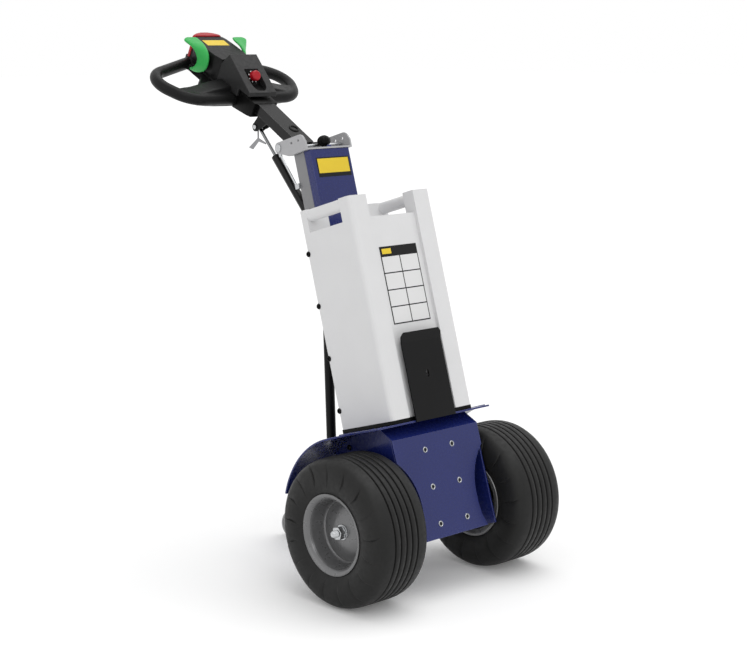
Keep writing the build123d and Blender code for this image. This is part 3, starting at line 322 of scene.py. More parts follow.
@dataclass(frozen=True)
class Finish:
    """One finish of the machine: colour, gloss, fine relief, and lighter edges, worn on most
    finishes and a painted highlight on some.

    Sizes are in millimetres, colours are linear.
    """

    name: str
    slot: str
    colour: Colour
    roughness: float
    grain: Grain
    metallic: float = 0.0
    coat: float = 0.0
    specular: float = 0.5
    mottle: float = 0.06
    grain_size: float = 1.2
    grain_depth: float = 0.02
    wear_and_highlight: Colour | None = None
    wear_and_highlight_share: float = 0.35

    def material(self) -> bpy.types.Material:
        """Give the finish's material, made once.

        Returns:
            The material.
        """
        return bpy.data.materials.get(self.name) or self.build()

    def build(self) -> bpy.types.Material:
        """Build the material's node tree.

        Returns:
            The new material.
        """
        graph = Graph(self.name)
        shader = graph.shader
        dark = tuple(c * (1 - self.mottle) for c in self.colour) + (1.0,)
        light = tuple(min(1.0, c * (1 + self.mottle)) for c in self.colour) + (1.0,)
        patches = graph.noise(PATCH_SIZE, 3.0)
        colour = graph.mix(graph.span(patches, 0.0, 1.0, 0.3, 0.7), dark, light)
        streaks = graph.noise(STREAK_SIZE, 4.0, self.stretch())
        glossy, dull = self.roughness * GLOSSIER, self.roughness * DULLER
        roughness = graph.span(streaks, glossy, dull, 0.3, 0.7)
        # Edges found by the Bevel mask take a lighter colour: worn edges on most finishes, and a
        # painted highlight along bends and edges on the blue coat and the gloss enamel.
        if self.wear_and_highlight is not None:
            places = graph.span(graph.noise(WEAR_AND_HIGHLIGHT_PATCH, 5.0), 0.35, 1.0, 0.3, 0.6)
            wear_and_highlight_edges = graph.math("MULTIPLY", graph.edges(WEAR_AND_HIGHLIGHT_WIDTH), places)
            amount = graph.math("MULTIPLY", wear_and_highlight_edges, self.wear_and_highlight_share)
            colour = graph.mix(amount, colour, self.wear_and_highlight + (1.0,))
            duller = graph.math("MULTIPLY", amount, WEAR_AND_HIGHLIGHT_DULLER)
            roughness = graph.math("ADD", roughness, duller)
        graph.feed(shader.inputs["Base Color"], colour)
        graph.feed(shader.inputs["Roughness"], roughness)
        graph.feed(shader.inputs["Normal"], self.normal(graph))
        shader.inputs["Metallic"].default_value = self.metallic
        shader.inputs["Coat Weight"].default_value = self.coat
        shader.inputs["Coat Roughness"].default_value = COAT_ROUGHNESS
        shader.inputs["Specular IOR Level"].default_value = self.specular
        return graph.material

    def stretch(self) -> Point3:
        """Give the stretch of the roughness pattern.

        Returns:
            Its scale along X, Y and Z.
        """
        return (1.0, 1.0, 0.25) if self.grain is Grain.PLATED else (1.0, 1.0, 1.0)

    def normal(self, graph: Graph) -> Socket:
        """Build the finish's fine relief.

        Args:
            graph: The material's node tree.

        Returns:
            The bent normal.
        """
        if self.grain is Grain.MOULDED:
            return graph.relief(graph.cells(self.grain_size), self.grain_depth)
        if self.grain is Grain.RUBBER:
            coarse = graph.relief(graph.noise(COARSE_RUBBER, 3.0), self.grain_depth * 2.5)
            return graph.relief(graph.cells(self.grain_size), self.grain_depth, coarse)
        if self.grain is Grain.CAST:
            coarse = graph.relief(graph.noise(COARSE_CAST, 5.0), self.grain_depth * 4)
            return graph.relief(graph.cells(self.grain_size), self.grain_depth, coarse)
        if self.grain is Grain.PLATED:
            brushed = graph.noise(self.grain_size, 2.0, (1.0, 1.0, 0.15))
            return graph.relief(brushed, self.grain_depth)
        return graph.relief(graph.noise(self.grain_size, 1.0), self.grain_depth)


# The lighter blue on its edges is a painted highlight along the sheet's bends and edges.
BLUE = Finish("blue_powder_coat", "blue_paint", (0.010, 0.017, 0.118), 0.26, Grain.POWDER,
              coat=0.10, mottle=0.05, specular=0.36, grain_size=9.0, grain_depth=0.006,
              wear_and_highlight=(0.22, 0.24, 0.52), wear_and_highlight_share=0.9)
GREY = Finish("grey_powder_coat", "grey_paint", (0.215, 0.215, 0.222), 0.42, Grain.POWDER,
              mottle=0.04, grain_size=4.0, grain_depth=0.012, wear_and_highlight=(0.36, 0.36, 0.37))
LIGHT_GREY = Finish("light_grey_powder_coat", "light_grey_paint", (0.40, 0.40, 0.41), 0.36,
                    Grain.POWDER, mottle=0.04, grain_size=4.0, grain_depth=0.012,
                    wear_and_highlight=(0.6, 0.6, 0.6))
BLACK = Finish("black_powder_coat", "black_paint", (0.0045, 0.0045, 0.0048), 0.34, Grain.POWDER,
               mottle=0.10, specular=0.14, grain_size=5.0, grain_depth=0.014,
               wear_and_highlight=(0.05, 0.05, 0.055))
# The grey on its edges is a painted highlight along the edges of the tiller tube and gas cylinder.
GLOSS_BLACK = Finish("black_gloss_enamel", "black_paint", (0.003, 0.003, 0.0033), 0.20,
                     Grain.POWDER, mottle=0.10, specular=0.24, grain_size=9.0, grain_depth=0.012,
                     wear_and_highlight=(0.30, 0.30, 0.30), wear_and_highlight_share=0.8)
CASTING = Finish("drive_casting", "cast_iron", (0.045, 0.045, 0.047), 0.55, Grain.CAST,
                 grain_size=1.6, grain_depth=0.05, wear_and_highlight=(0.14, 0.14, 0.14))
ZINC = Finish("zinc_plate", "zinc_steel", (0.50, 0.51, 0.52), 0.26, Grain.PLATED, metallic=1.0,
              grain_size=0.6, grain_depth=0.006)
GALVANISED = Finish("galvanised_sheet", "zinc_steel", (0.30, 0.30, 0.31), 0.34, Grain.PLATED,
                    metallic=0.9, mottle=0.16, grain_size=2.0, grain_depth=0.01)
CHROME = Finish("hard_chrome", "chrome_rod", (0.20, 0.205, 0.21), 0.14, Grain.PLATED, metallic=1.0,
                mottle=0.10, grain_size=0.5, grain_depth=0.002)
RIM_PAINT = Finish("rim_enamel", "rim_paint", (0.165, 0.165, 0.168), 0.30, Grain.POWDER,
                   metallic=0.45, mottle=0.10, grain_size=4.0, grain_depth=0.012,
                   wear_and_highlight=(0.50, 0.50, 0.50), wear_and_highlight_share=0.8)
TYRE_RUBBER = Finish("tyre_compound", "tyre_rubber", (0.013, 0.013, 0.0128), 0.50, Grain.RUBBER,
                     mottle=0.12, grain_size=0.9, grain_depth=0.03, specular=0.20)
SHELL = Finish("battery_moulding", "battery_white", (0.70, 0.70, 0.705), 0.46, Grain.MOULDED,
               mottle=0.015, grain_size=0.8, grain_depth=0.012)
HANDLE = Finish("handle_moulding", "dark_plastic", (0.0075, 0.0075, 0.0077), 0.40, Grain.MOULDED,
                mottle=0.08, specular=0.15, grain_size=0.7, grain_depth=0.02,
                wear_and_highlight=(0.04, 0.04, 0.04))
PANEL = Finish("panel_moulding", "dark_plastic", (0.020, 0.020, 0.0205), 0.46, Grain.MOULDED,
               mottle=0.06, specular=0.22, grain_size=0.6, grain_depth=0.02,
               wear_and_highlight=(0.07, 0.07, 0.07))
BLACK_PLASTIC = Finish("black_moulding", "black_plastic", (0.0025, 0.0025, 0.0025), 0.36,
                       Grain.MOULDED, mottle=0.08, specular=0.09, grain_size=0.6,
                       grain_depth=0.015)
GREEN = Finish("green_moulding", "green_plastic", (0.035, 0.42, 0.085), 0.34, Grain.MOULDED,
               mottle=0.04, specular=0.32, grain_size=0.8, grain_depth=0.010)
RED = Finish("red_moulding", "red_plastic", (0.40, 0.006, 0.014), 0.32, Grain.MOULDED, mottle=0.05,
             specular=0.30, grain_size=0.8, grain_depth=0.010)
TREAD = Finish("castor_polyurethane", "castor_tread", (0.33, 0.33, 0.33), 0.45, Grain.MOULDED,
               mottle=0.05, grain_size=1.0, grain_depth=0.02)
YELLOW = Finish("yellow_print", "collar_white", (0.80, 0.58, 0.040), 0.35, Grain.SMOOTH,
                mottle=0.03, specular=0.25, grain_depth=0.004)
# Black print, also used as painted shade inside the hitch plate's threaded bores.
BLACK_PRINT_AND_SHADE = Finish("black_print_and_shade", "black_plastic", (0.006, 0.006, 0.0065), 0.35, Grain.SMOOTH,
                     mottle=0.06, specular=0.20, grain_depth=0.004)
PRINT_WHITE = Finish("white_print", "battery_white", (0.72, 0.72, 0.72), 0.35, Grain.SMOOTH,
                     mottle=0.01, grain_depth=0.004)


class Form:
    """Mesh under work, in the millimetres of one frame."""

    def __init__(self) -> None:
        """Start with an empty mesh."""
        self.mesh = bmesh.new()

    def block(self, low: Point3, high: Point3) -> list[Vert]:
        """Add a box.

        Args:
            low: Lowest corner, mm.
            high: Highest corner, mm.

        Returns:
            Its vertices.
        """
        size = Vector(high) - Vector(low)
        centre = (Vector(high) + Vector(low)) / 2
        matrix = Matrix.Translation(centre) @ Matrix.Diagonal(size.to_4d())
        return bmesh.ops.create_cube(self.mesh, size=1.0, matrix=matrix)["verts"]

    def prism(self, outline: Sequence[Point2], start: float, end: float) -> list[Vert]:
        """Add a prism across X.

        Args:
            outline: Corners as (along, up), mm.
            start: First x, mm.
            end: Last x, mm.

        Returns:
            Its vertices.
        """
        ring = [self.mesh.verts.new((start, along, up)) for along, up in outline]
        return self.draw_out(ring, Vector((end - start, 0, 0)))

    def plate(self, outline: Sequence[Point2], low: float, high: float) -> list[Vert]:
        """Add a flat plate that lies level in the frame.

        Args:
            outline: Corners as (x, along), mm.
            low: Lower face, mm.
            high: Upper face, mm.

        Returns:
            Its vertices.
        """
        ring = [self.mesh.verts.new((x, along, low)) for x, along in outline]
        return self.draw_out(ring, Vector((0, 0, high - low)))

    def draw_out(self, ring: list[Vert], travel: Vector) -> list[Vert]:
        """Close a ring of vertices with a face and draw it out to a solid.

        Args:
            ring: Vertices in order.
            travel: Way that the face is drawn, mm.

        Returns:
            All the solid's vertices.
        """
        face = self.mesh.faces.new(ring)
        made = bmesh.ops.extrude_face_region(self.mesh, geom=[face], use_keep_orig=True)["geom"]
        far = [v for v in made if isinstance(v, Vert)]
        bmesh.ops.translate(self.mesh, verts=far, vec=travel)
        return ring + far

    def turned(self, profile: Sequence[Point2], steps: int, centre: Point3 = (0, 0, 0),
               axis: Point3 = (1, 0, 0)) -> list[Vert]:
        """Add a solid turned from a closed profile.

        Args:
            profile: Points as (distance along the axis, radius), mm.
            steps: Number of steps round.
            centre: Point on the axis where the distance is zero.
            axis: Direction of the axis.

        Returns:
            Its vertices.
        """
        line = Vector(axis).normalized()
        aside = line.orthogonal().normalized()
        start = Vector(centre)
        verts = [self.mesh.verts.new(start + line * d + aside * r) for d, r in profile]
        edges = [self.mesh.edges.new(pair) for pair in zip(verts, verts[1:] + verts[:1])]
        before = set(self.mesh.verts)
        bmesh.ops.spin(self.mesh, geom=verts + edges, cent=start, axis=line, dvec=(0, 0, 0),
                       angle=math.tau, steps=steps, use_merge=True, use_duplicate=False)
        made = [v for v in self.mesh.verts if v not in before] + verts
        bmesh.ops.remove_doubles(self.mesh, verts=made, dist=MERGE_DISTANCE)
        return [v for v in made if v.is_valid]

    def bevel(self, width: float, segments: int = 2, angle: float = 30.0,
              test: EdgeTest | None = None) -> "Form":
        """Round the sharp edges.

        Args:
            width: Width of the rounding, mm.
            segments: Facets of the rounding.
            angle: Edges that turn by more than this many degrees are sharp.
            test: Further test that an edge has to pass.

        Returns:
            The form itself.
        """
        limit = math.radians(angle)
        edges = [e for e in self.mesh.edges if len(e.link_faces) == 2
                 and e.calc_face_angle(0.0) > limit and (test is None or test(e))]
        bmesh.ops.bevel(self.mesh, geom=edges, offset=width, segments=segments, affect="EDGES",
                        profile=0.5, material=-1, clamp_overlap=True)
        return self

    def tidy(self) -> "Form":
        """Merge doubles and turn the faces outwards.

        Returns:
            The form itself.
        """
        bmesh.ops.remove_doubles(self.mesh, verts=self.mesh.verts, dist=MERGE_DISTANCE)
        bmesh.ops.recalc_face_normals(self.mesh, faces=self.mesh.faces)
        return self

    def finish(self, name: str, body: str, finish: Finish, matrix: Matrix,
               smooth: float = 35.0, replaces: Iterable[str] = ()) -> bpy.types.Object:
        """Make the form an object of the machine.

        Args:
            name: Name of the piece.
            body: Body that it rides on.
            finish: Its finish.
            matrix: Transform from the form's millimetres to the machine's metres.
            smooth: Edges that turn by less than this many degrees are shaded smooth.
            replaces: Nodes that it stands for.

        Returns:
            The object.
        """
        self.tidy()
        self.mesh.transform(matrix)
        data = bpy.data.meshes.new(name)
        self.mesh.to_mesh(data)
        self.mesh.free()
        piece = bpy.data.objects.new(name, data)
        bpy.context.scene.collection.objects.link(piece)
        return dress(piece, body, finish, smooth, replaces)


def dress(piece: bpy.types.Object, body: str, finish: Finish, smooth: float = 35.0,
          replaces: Iterable[str] = ()) -> bpy.types.Object:
    """Give a piece its finish, shading and body.

    Args:
        piece: The object.
        body: Body that it rides on.
        finish: Its finish.
        smooth: Edges that turn by less than this many degrees are shaded smooth.
        replaces: Nodes that it stands for.

    Returns:
        The same object.
    """
    piece.data.materials.clear()
    piece.data.materials.append(finish.material())
    piece.data.shade_smooth()
    piece.data.set_sharp_from_angle(angle=math.radians(smooth))
    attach(piece, body)
    for node in replaces:
        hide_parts(node)
    LOG.info("%s: %d faces, %s, on %s", piece.name, len(piece.data.polygons), finish.name, body)
    return piece


def form_of(node: str) -> Form:
    """Copy a solid's mesh as a form in the machine's millimetres.

    Args:
        node: Name of the solid.

    Returns:
        The merged form with its flat faces joined.
    """
    form = Form()
    form.mesh.from_mesh(frame["nodes"][node].data)
    form.mesh.transform(Matrix.Scale(1 / MM, 4))
    bmesh.ops.remove_doubles(form.mesh, verts=form.mesh.verts, dist=SOLID_MERGE_DISTANCE)
    bmesh.ops.dissolve_limit(form.mesh, angle_limit=math.radians(FLAT_ANGLE),
                             use_dissolve_boundaries=False, verts=form.mesh.verts,
                             edges=form.mesh.edges)
    return form


def form_in(node: str, slope: Slope) -> Form:
    """Copy a solid's mesh as a form in the millimetres of a sloping frame.

    Args:
        node: Name of the solid.
        slope: The frame.

    Returns:
        The merged form with its flat faces joined.
    """
    form = form_of(node)
    form.mesh.transform(slope.matrix().inverted() @ TO_METRES)
    return form


def eased(node: str, finish: Finish, width: float = 0.8, segments: int = 2, angle: float = 30.0,
          smooth: float = 35.0) -> bpy.types.Object:
    """Dress a solid with its edges eased.

    Args:
        node: Name of the solid.
        finish: Its finish.
        width: Width of the rounding, mm.
        segments: Facets of the rounding.
        angle: Edges that turn by more than this many degrees are eased.
        smooth: Edges that turn by less than this many degrees are shaded smooth.

    Returns:
        The piece that stands for the solid.
    """
    form = form_of(node).bevel(width, segments, angle)
    piece = form.finish(f"{node}_eased", frame["nodes"][node]["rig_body"], finish, TO_METRES,
                        smooth, (node,))
    weigh(piece)
    return piece


def weigh(piece: bpy.types.Object) -> None:
    """Shade flat faces flat beside their rounded edges.

    Args:
        piece: The object.
    """
    modifier = piece.modifiers.new("weighted_normals", "WEIGHTED_NORMAL")
    modifier.keep_sharp = True
    modifier.weight = 50


def remoulded(piece: bpy.types.Object, voxel: float, passes: int) -> bpy.types.Object:
    """Fuse a piece's shells and soften them as a moulding.

    Args:
        piece: The object, whose modifiers are applied.
        voxel: Grid of the new surface, mm.
        passes: Smoothing passes.

    Returns:
        The same object with its new mesh.
    """
    remesh = piece.modifiers.new("remesh", "REMESH")
    remesh.mode = "VOXEL"
    remesh.voxel_size = voxel * MM
    smooth = piece.modifiers.new("soften", "SMOOTH")
    smooth.iterations = passes
    smooth.factor = SOFTENING
    graph = bpy.context.evaluated_depsgraph_get()
    data = bpy.data.meshes.new_from_object(piece.evaluated_get(graph))
    piece.modifiers.clear()
    piece.data = data
    data.name = piece.name
    return piece


def rounded(corners: Sequence[Point2], radii: Sequence[float], steps: int) -> list[Point2]:
    """Round the corners of an outline.

    Args:
        corners: Corners in order.
        radii: Radius of each corner, mm.
        steps: Facets of each rounding.

    Returns:
        The points of the rounded outline.
    """
    places = [Vector(c) for c in corners]
    points: list[Point2] = []
    for number, (corner, radius) in enumerate(zip(places, radii)):
        back = (places[number - 1] - corner).normalized()
        ahead = (places[(number + 1) % len(places)] - corner).normalized()
        half = back.angle(ahead) / 2
        centre = corner + (back + ahead).normalized() * (radius / math.sin(half))
        start = corner + back * (radius / math.tan(half)) - centre
        end = corner + ahead * (radius / math.tan(half)) - centre
        turn = start.angle(end)
        for step in range(steps + 1):
            share = step / steps
            arm = start * math.sin((1 - share) * turn) + end * math.sin(share * turn)
            points.append(tuple(centre + arm / math.sin(turn)))
    return points


def spline(places: Sequence[Vector], count: int) -> list[Vector]:
    """Draw a smooth curve through places.

    Args:
        places: Places in order.
        count: Number of runs that the curve is cut into.

    Returns:
        Points of the curve, evenly spaced in the places' order.
    """
    points = []
    last = len(places) - 1
    for number in range(count + 1):
        spot = number / count * last
        index = min(int(spot), last - 1)
        t = spot - index
        p0, p1 = places[max(index - 1, 0)], places[index]
        p2, p3 = places[index + 1], places[min(index + 2, last)]
        bend = (2 * p0 - 5 * p1 + 4 * p2 - p3) * t * t
        twist = (3 * p1 - p0 - 3 * p2 + p3) * t * t * t
        points.append(0.5 * ((2 * p1) + (p2 - p0) * t + bend + twist))
    return points


def screw(form: Form, centre: Point3, axis: Point3, radius: float, height: float) -> None:
    """Add a domed screw head with a socket to a form.

    Args:
        form: The form.
        centre: Middle of its seat, mm.
        axis: Direction that it faces.
        radius: Radius of the head, mm.
        height: Height of the head, mm.
    """
    socket = radius * 0.45
    rim = height * 0.35
    form.turned(((-0.3, 0.0), (-0.3, radius), (rim, radius), (height * 0.8, radius * 0.85),
                 (height, radius * 0.6), (height, socket), (rim, socket), (rim, 0.0)),
                20, centre, axis)


@dataclass
class Wheels:
    """Road wheels: ribbed tyre, pressed rim and hub, left and right."""

    centre_x: float = 215.0
    radius: float = 165.0
    shoulder: tuple[Point2, ...] = (
        (36.5, 164.9), (44.0, 164.5), (52.0, 163.3), (59.0, 161.0), (65.0, 157.3), (69.5, 152.2),
        (72.4, 146.0), (74.2, 139.0), (75.3, 131.0), (75.5, 123.0), (74.9, 115.0), (73.3, 107.0),
        (70.8, 99.5), (68.8, 94.5), (67.8, 91.6), (66.2, 89.8), (65.8, 88.6), (61.0, 76.2))
    groove_pitch: float = 16.4
    groove_count: int = 5
    groove_half: float = 2.1
    groove_depth: float = 6.5
    groove_ease: float = 0.5
    groove_taper: float = 0.7
    sidewall_x: float = 60.0
    crease_count: int = 17
    crease_depth: float = 4.0
    crease_inner: float = 98.0
    crease_outer: float = 156.0
    crease_sweep: float = 0.010
    steps: int = 510
    disc_x: float = 34.0
    rim_outer: tuple[Point2, ...] = (
        (61.5, 77.4), (64.5, 86.0), (66.2, 89.0), (67.8, 90.0), (69.4, 89.6), (70.2, 88.0),
        (70.0, 86.0), (68.8, 83.6), (66.6, 80.8), (63.6, 78.0), (60.0, 75.8), (55.0, 74.4),
        (48.0, 73.2), (38.0, 71.8), (30.0, 70.8), (26.0, 69.6), (24.0, 67.4), (24.4, 65.0),
        (27.0, 62.6))
    rim_inner: tuple[Point2, ...] = (
        (-48.0, 12.6), (-48.0, 24.0), (24.0, 24.0), (20.0, 66.0), (18.0, 70.0), (-61.0, 73.0),
        (-64.4, 74.4), (-66.6, 81.0), (-69.4, 86.6), (-69.2, 88.4), (-67.8, 89.4), (-66.2, 88.9),
        (-61.5, 77.4), (-60.0, 76.2), (60.0, 76.2))
    valve: tuple[Point2, ...] = ((60.0, 0.0), (60.0, 3.6), (66.0, 3.6), (67.0, 4.4), (77.0, 4.4),
                                 (78.0, 3.6), (78.0, 0.0))
    valve_place: Point3 = (0.0, 40.0, 62.0)
    valve_axis: Point3 = (0.35, -0.5, -0.8)
    shaft_radius: float = 12.4
    shaft_start: float = -108.0
    washer_radius: float = 17.0
    washer_height: float = 3.0
    nut_across: float = 27.0
    nut_height: float = 15.0
    nut_chamfer: float = 1.1
    stud_radius: float = 8.0
    stud_end: float = 64.0
    thread_pitch: float = 2.0
    thread_depth: float = 0.9

    def build(self) -> None:
        """Build both wheels."""
        for name, side in SIDES:
            self.tyre(name, side)
            self.rim(name, side)
            self.hub(name, side)

    def axis_matrix(self, side: float) -> Matrix:
        """Give the transform from a wheel's own frame, X outwards, to the machine's metres.

        Args:
            side: Sign of its x.

        Returns:
            The transform.
        """
        place = Matrix.Translation((side * self.centre_x, AXLE_Y, AXLE_Z))
        return TO_METRES @ place @ Matrix.Diagonal((side, 1.0, 1.0, 1.0))

    def tyre_profile(self) -> list[Point2]:
        """Give the outline of the tyre's rubber.

        Returns:
            Points as (distance from its middle, radius), mm.
        """
        ease, half, top = self.groove_ease, self.groove_half, self.radius
        floor, inner = top - self.groove_depth, half * self.groove_taper
        groove = ((-half - ease, top), (-half, top - ease), (-inner, floor),
                  (inner, floor), (half, top - ease), (half + ease, top))
        crown: list[Point2] = []
        for number in range(self.groove_count):
            middle = (number - (self.groove_count - 1) / 2) * self.groove_pitch
            crown += [(middle + x, radius) for x, radius in groove]
        return [(-x, r) for x, r in reversed(self.shoulder)] + crown + list(self.shoulder)

    def tyre(self, name: str, side: float) -> None:
        """Build one tyre with its grooves and sidewall creases.

        Args:
            name: Side of the machine.
            side: Sign of its x.
        """
        form = Form()
        form.turned(self.tyre_profile(), self.steps)
        for vert in form.mesh.verts:
            radius = math.hypot(vert.co.y, vert.co.z)
            share = (radius - self.crease_inner) / (self.crease_outer - self.crease_inner)
            if 0.0 < share < 1.0 and abs(vert.co.x) > self.sidewall_x:
                angle = math.atan2(vert.co.z, vert.co.y)
                vert.co.x -= math.copysign(self.crease(angle, share), vert.co.x)
                angle += self.crease_sweep * math.tau * math.sin(math.pi * share)
                vert.co.y, vert.co.z = radius * math.cos(angle), radius * math.sin(angle)
        form.finish(f"tyre_{name}_ribbed", f"wheel_{name}", TYRE_RUBBER, self.axis_matrix(side),
                    50.0, (f"tyre_{name}",))

    def crease(self, angle: float, share: float) -> float:
        """Give how far the sidewall sinks at a place of one of its folds.

        Args:
            angle: Angle round the axle, radians.
            share: Place between the folds' inner and outer radius, from 0 to 1.

        Returns:
            The depth, mm.
        """
        folds = angle / math.tau * self.crease_count + 0.02
        phase = folds % 1.0
        number = math.floor(folds) % self.crease_count
        vary = 0.72 + 0.28 * math.sin(2.4 * number + 0.7)
        start = 0.10 + 0.18 * math.sin(1.7 * number) ** 2
        reach = min(1.0, max(0.0, (share - start) / (1.0 - start)))
        window = math.sin(math.pi * reach) ** 0.5
        fold = 0.75 * math.exp(-phase / 0.09) + 0.25 * math.exp(-phase / 0.3)
        return self.crease_depth * window * vary * fold

    def rim(self, name: str, side: float) -> None:
        """Build one pressed rim with its valve.

        Args:
            name: Side of the machine.
            side: Sign of its x.
        """
        disc = ((self.disc_x - 1.2, 34.0), (self.disc_x, 30.0), (self.disc_x, 12.6))
        form = Form()
        form.turned(self.rim_outer + disc + self.rim_inner, 120)
        form.turned(self.valve, 20, self.valve_place, self.valve_axis)
        form.finish(f"rim_{name}_pressed", f"wheel_{name}", RIM_PAINT, self.axis_matrix(side),
                    40.0, (f"rim_{name}",))

    def hub(self, name: str, side: float) -> None:
        """Build one shaft end: shaft, washer, nut and threaded stud.

        Args:
            name: Side of the machine.
            side: Sign of its x.
        """
        form = Form()
        seat, start, shaft = self.disc_x, self.shaft_start, self.shaft_radius
        washer = seat + self.washer_height
        nut = washer + self.nut_height
        form.turned(((start, 0.0), (start - 1.0, shaft), (seat, shaft), (seat, 0.0)), 48)
        edge = self.washer_radius
        form.turned(((seat, 8.0), (seat, edge - 0.4), (seat + 0.4, edge), (washer - 0.5, edge),
                     (washer, edge - 0.5), (washer, 8.0)), 48)
        corner = self.nut_across / 2 / math.cos(math.pi / 6)
        flats = form.turned(((washer, 8.2), (washer, corner), (nut, corner), (nut, 8.2)), 6)
        outer = {v for v in flats if math.hypot(v.co.y, v.co.z) > corner - 0.5}
        chamfer = [e for e in form.mesh.edges if all(v in outer for v in e.verts)]
        bmesh.ops.bevel(form.mesh, geom=chamfer, offset=self.nut_chamfer, segments=2,
                        affect="EDGES", profile=0.5, material=-1)
        form.turned(self.stud_profile(washer, nut), 36)
        form.finish(f"wheel_shaft_{name}_turned", f"wheel_{name}", ZINC, self.axis_matrix(side),
                    30.0, (f"wheel_shaft_{name}",))

    def stud_profile(self, start: float, thread_start: float) -> list[Point2]:
        """Give the profile of the threaded stud.

        Args:
            start: Where the stud starts, mm.
            thread_start: Where the nut ends and the thread shows, mm.

        Returns:
            Points as (distance from the wheel's middle, radius), mm.
        """
        crest, root, end = self.stud_radius, self.stud_radius - self.thread_depth, self.stud_end
        thread: list[Point2] = [(start, 0.0), (start, crest - 1.0)]
        place = thread_start - 1.0
        while place < end - self.thread_pitch:
            thread += [(place, root), (place + self.thread_pitch / 2, crest)]
            place += self.thread_pitch
        return thread + [(end - 1.0, root), (end, crest - 2.2), (end, 2.6), (end - 1.6, 0.0)]


@dataclass
class Chassis:
    """Bent sheet box, hitch plate, fenders, drive unit and rear arm."""

    hole_pitch_x: float = 84.0
    hole_pitch_z: float = 83.0
    first_row: float = 34.4
    nut_radius: float = 6.4
    nut_bore: float = 4.3
    nut_length: float = 15.0
    thread_turns: int = 11
    thread_pitch: float = 1.25
    bore_shade_start: float = 1.2
    bore_shade_end: float = 14.0
    bolt_place: Point3 = (133.5, 103.7, 314.0)
    bolt_radius: float = 6.5
    bolt_height: float = 4.0

    def build(self) -> None:
        """Build every piece of the chassis."""
        eased("hitch_plate", BLUE, 1.1, 3)
        for name, _ in SIDES:
            eased(f"side_plate_{name}", BLUE, 0.7)
            eased(f"fender_{name}", BLUE, 0.7)
        eased("rear_panel", BLUE, 0.7)
        eased("deck_plate", BLUE, 0.7)
        eased("gear_case", CASTING, 1.5, 3)
        eased("drive_motor", BLACK, 1.5, 3)
        eased("rear_arm", BLUE, 1.2, 3)
        eased("rear_strut", BLACK, 1.0)
        eased("column_lug", BLACK, 0.6)
        self.rivet_nuts()
        self.fasteners()

    def threaded_holes(self, profile: Sequence[Point2], steps: int) -> Form:
        """Turn the same profile at each of the hitch plate's six holes.

        Args:
            profile: Points as (distance out of the plate, radius), mm.
            steps: Number of steps round.

        Returns:
            The form.
        """
        form = Form()
        for row in range(3):
            for _, side in SIDES:
                height = -self.first_row - row * self.hole_pitch_z
                centre = (side * self.hole_pitch_x / 2, 0.0, height)
                form.turned(profile, steps, centre, (0, -1, 0))
        return form

    def rivet_nuts(self) -> None:
        """Build the six threaded inserts of the hitch plate and black cylinders in their bores as
        painted shade.
        """
        bore, rim, length = self.nut_bore, self.nut_radius, self.nut_length
        thread = [(-1.0 - self.thread_pitch * n - 0.6 * k, bore + 0.45 * k)
                  for n in range(self.thread_turns) for k in (0, 1)]
        insert = [(0.8, rim - 0.6), (0.3, rim), (-length, rim), (-length, bore)]
        insert += thread[::-1] + [(0.0, bore), (0.8, bore + 0.7)]
        self.threaded_holes(insert, 32).finish("rivet_nuts_threaded", "chassis", ZINC,
                                               HITCH.matrix(), 30.0, ("rivet_nuts",))
        # Black cylinders inside the bores are painted shade, darkening the threads that lie in
        # shade.
        radius = bore + 0.3
        hole = ((-self.bore_shade_start, 0.0), (-self.bore_shade_start, radius), (-self.bore_shade_end, radius),
                (-self.bore_shade_end, 0.0))
        self.threaded_holes(hole, 24).finish("rivet_nut_bore_shade", "chassis", BLACK_PRINT_AND_SHADE,
                                             HITCH.matrix(), 30.0)

    def fasteners(self) -> None:
        """Build the screws of the side plates."""
        form = Form()
        x, y, z = self.bolt_place
        for _, side in SIDES:
            screw(form, (side * x, y, z), (side, 0, 0), self.bolt_radius, self.bolt_height)
        place = TO_METRES @ Matrix.Translation((0, AXLE_Y, 0))
        form.finish("side_bolts", "chassis", BLACK, place, 30.0)


@dataclass
class Castor:
    """Swivel castor behind the column."""

    axle_y: float = 458.0
    radius: float = 32.5
    half_width: float = 12.0
    bore: float = 4.1

    def build(self) -> None:
        """Build the castor's plate, fork and wheel."""
        eased("castor_plate", LIGHT_GREY, 0.5)
        eased("castor_fork", LIGHT_GREY, 0.5)
        half, radius = self.half_width, self.radius
        right = [(half - 3.0, radius), (half, radius - 3.0), (half, radius - 7.0),
                 (half - 2.0, radius - 8.0), (half - 4.0, 14.0), (half - 1.0, 12.0), (half, 11.0),
                 (half, self.bore)]
        form = Form()
        form.turned(right + [(-x, r) for x, r in reversed(right)], 64)
        place = TO_METRES @ Matrix.Translation((0, AXLE_Y + self.axle_y, radius))
        form.finish("castor_wheel_moulded", "castor_roller", TREAD, place, 30.0,
                    ("castor_wheel",))


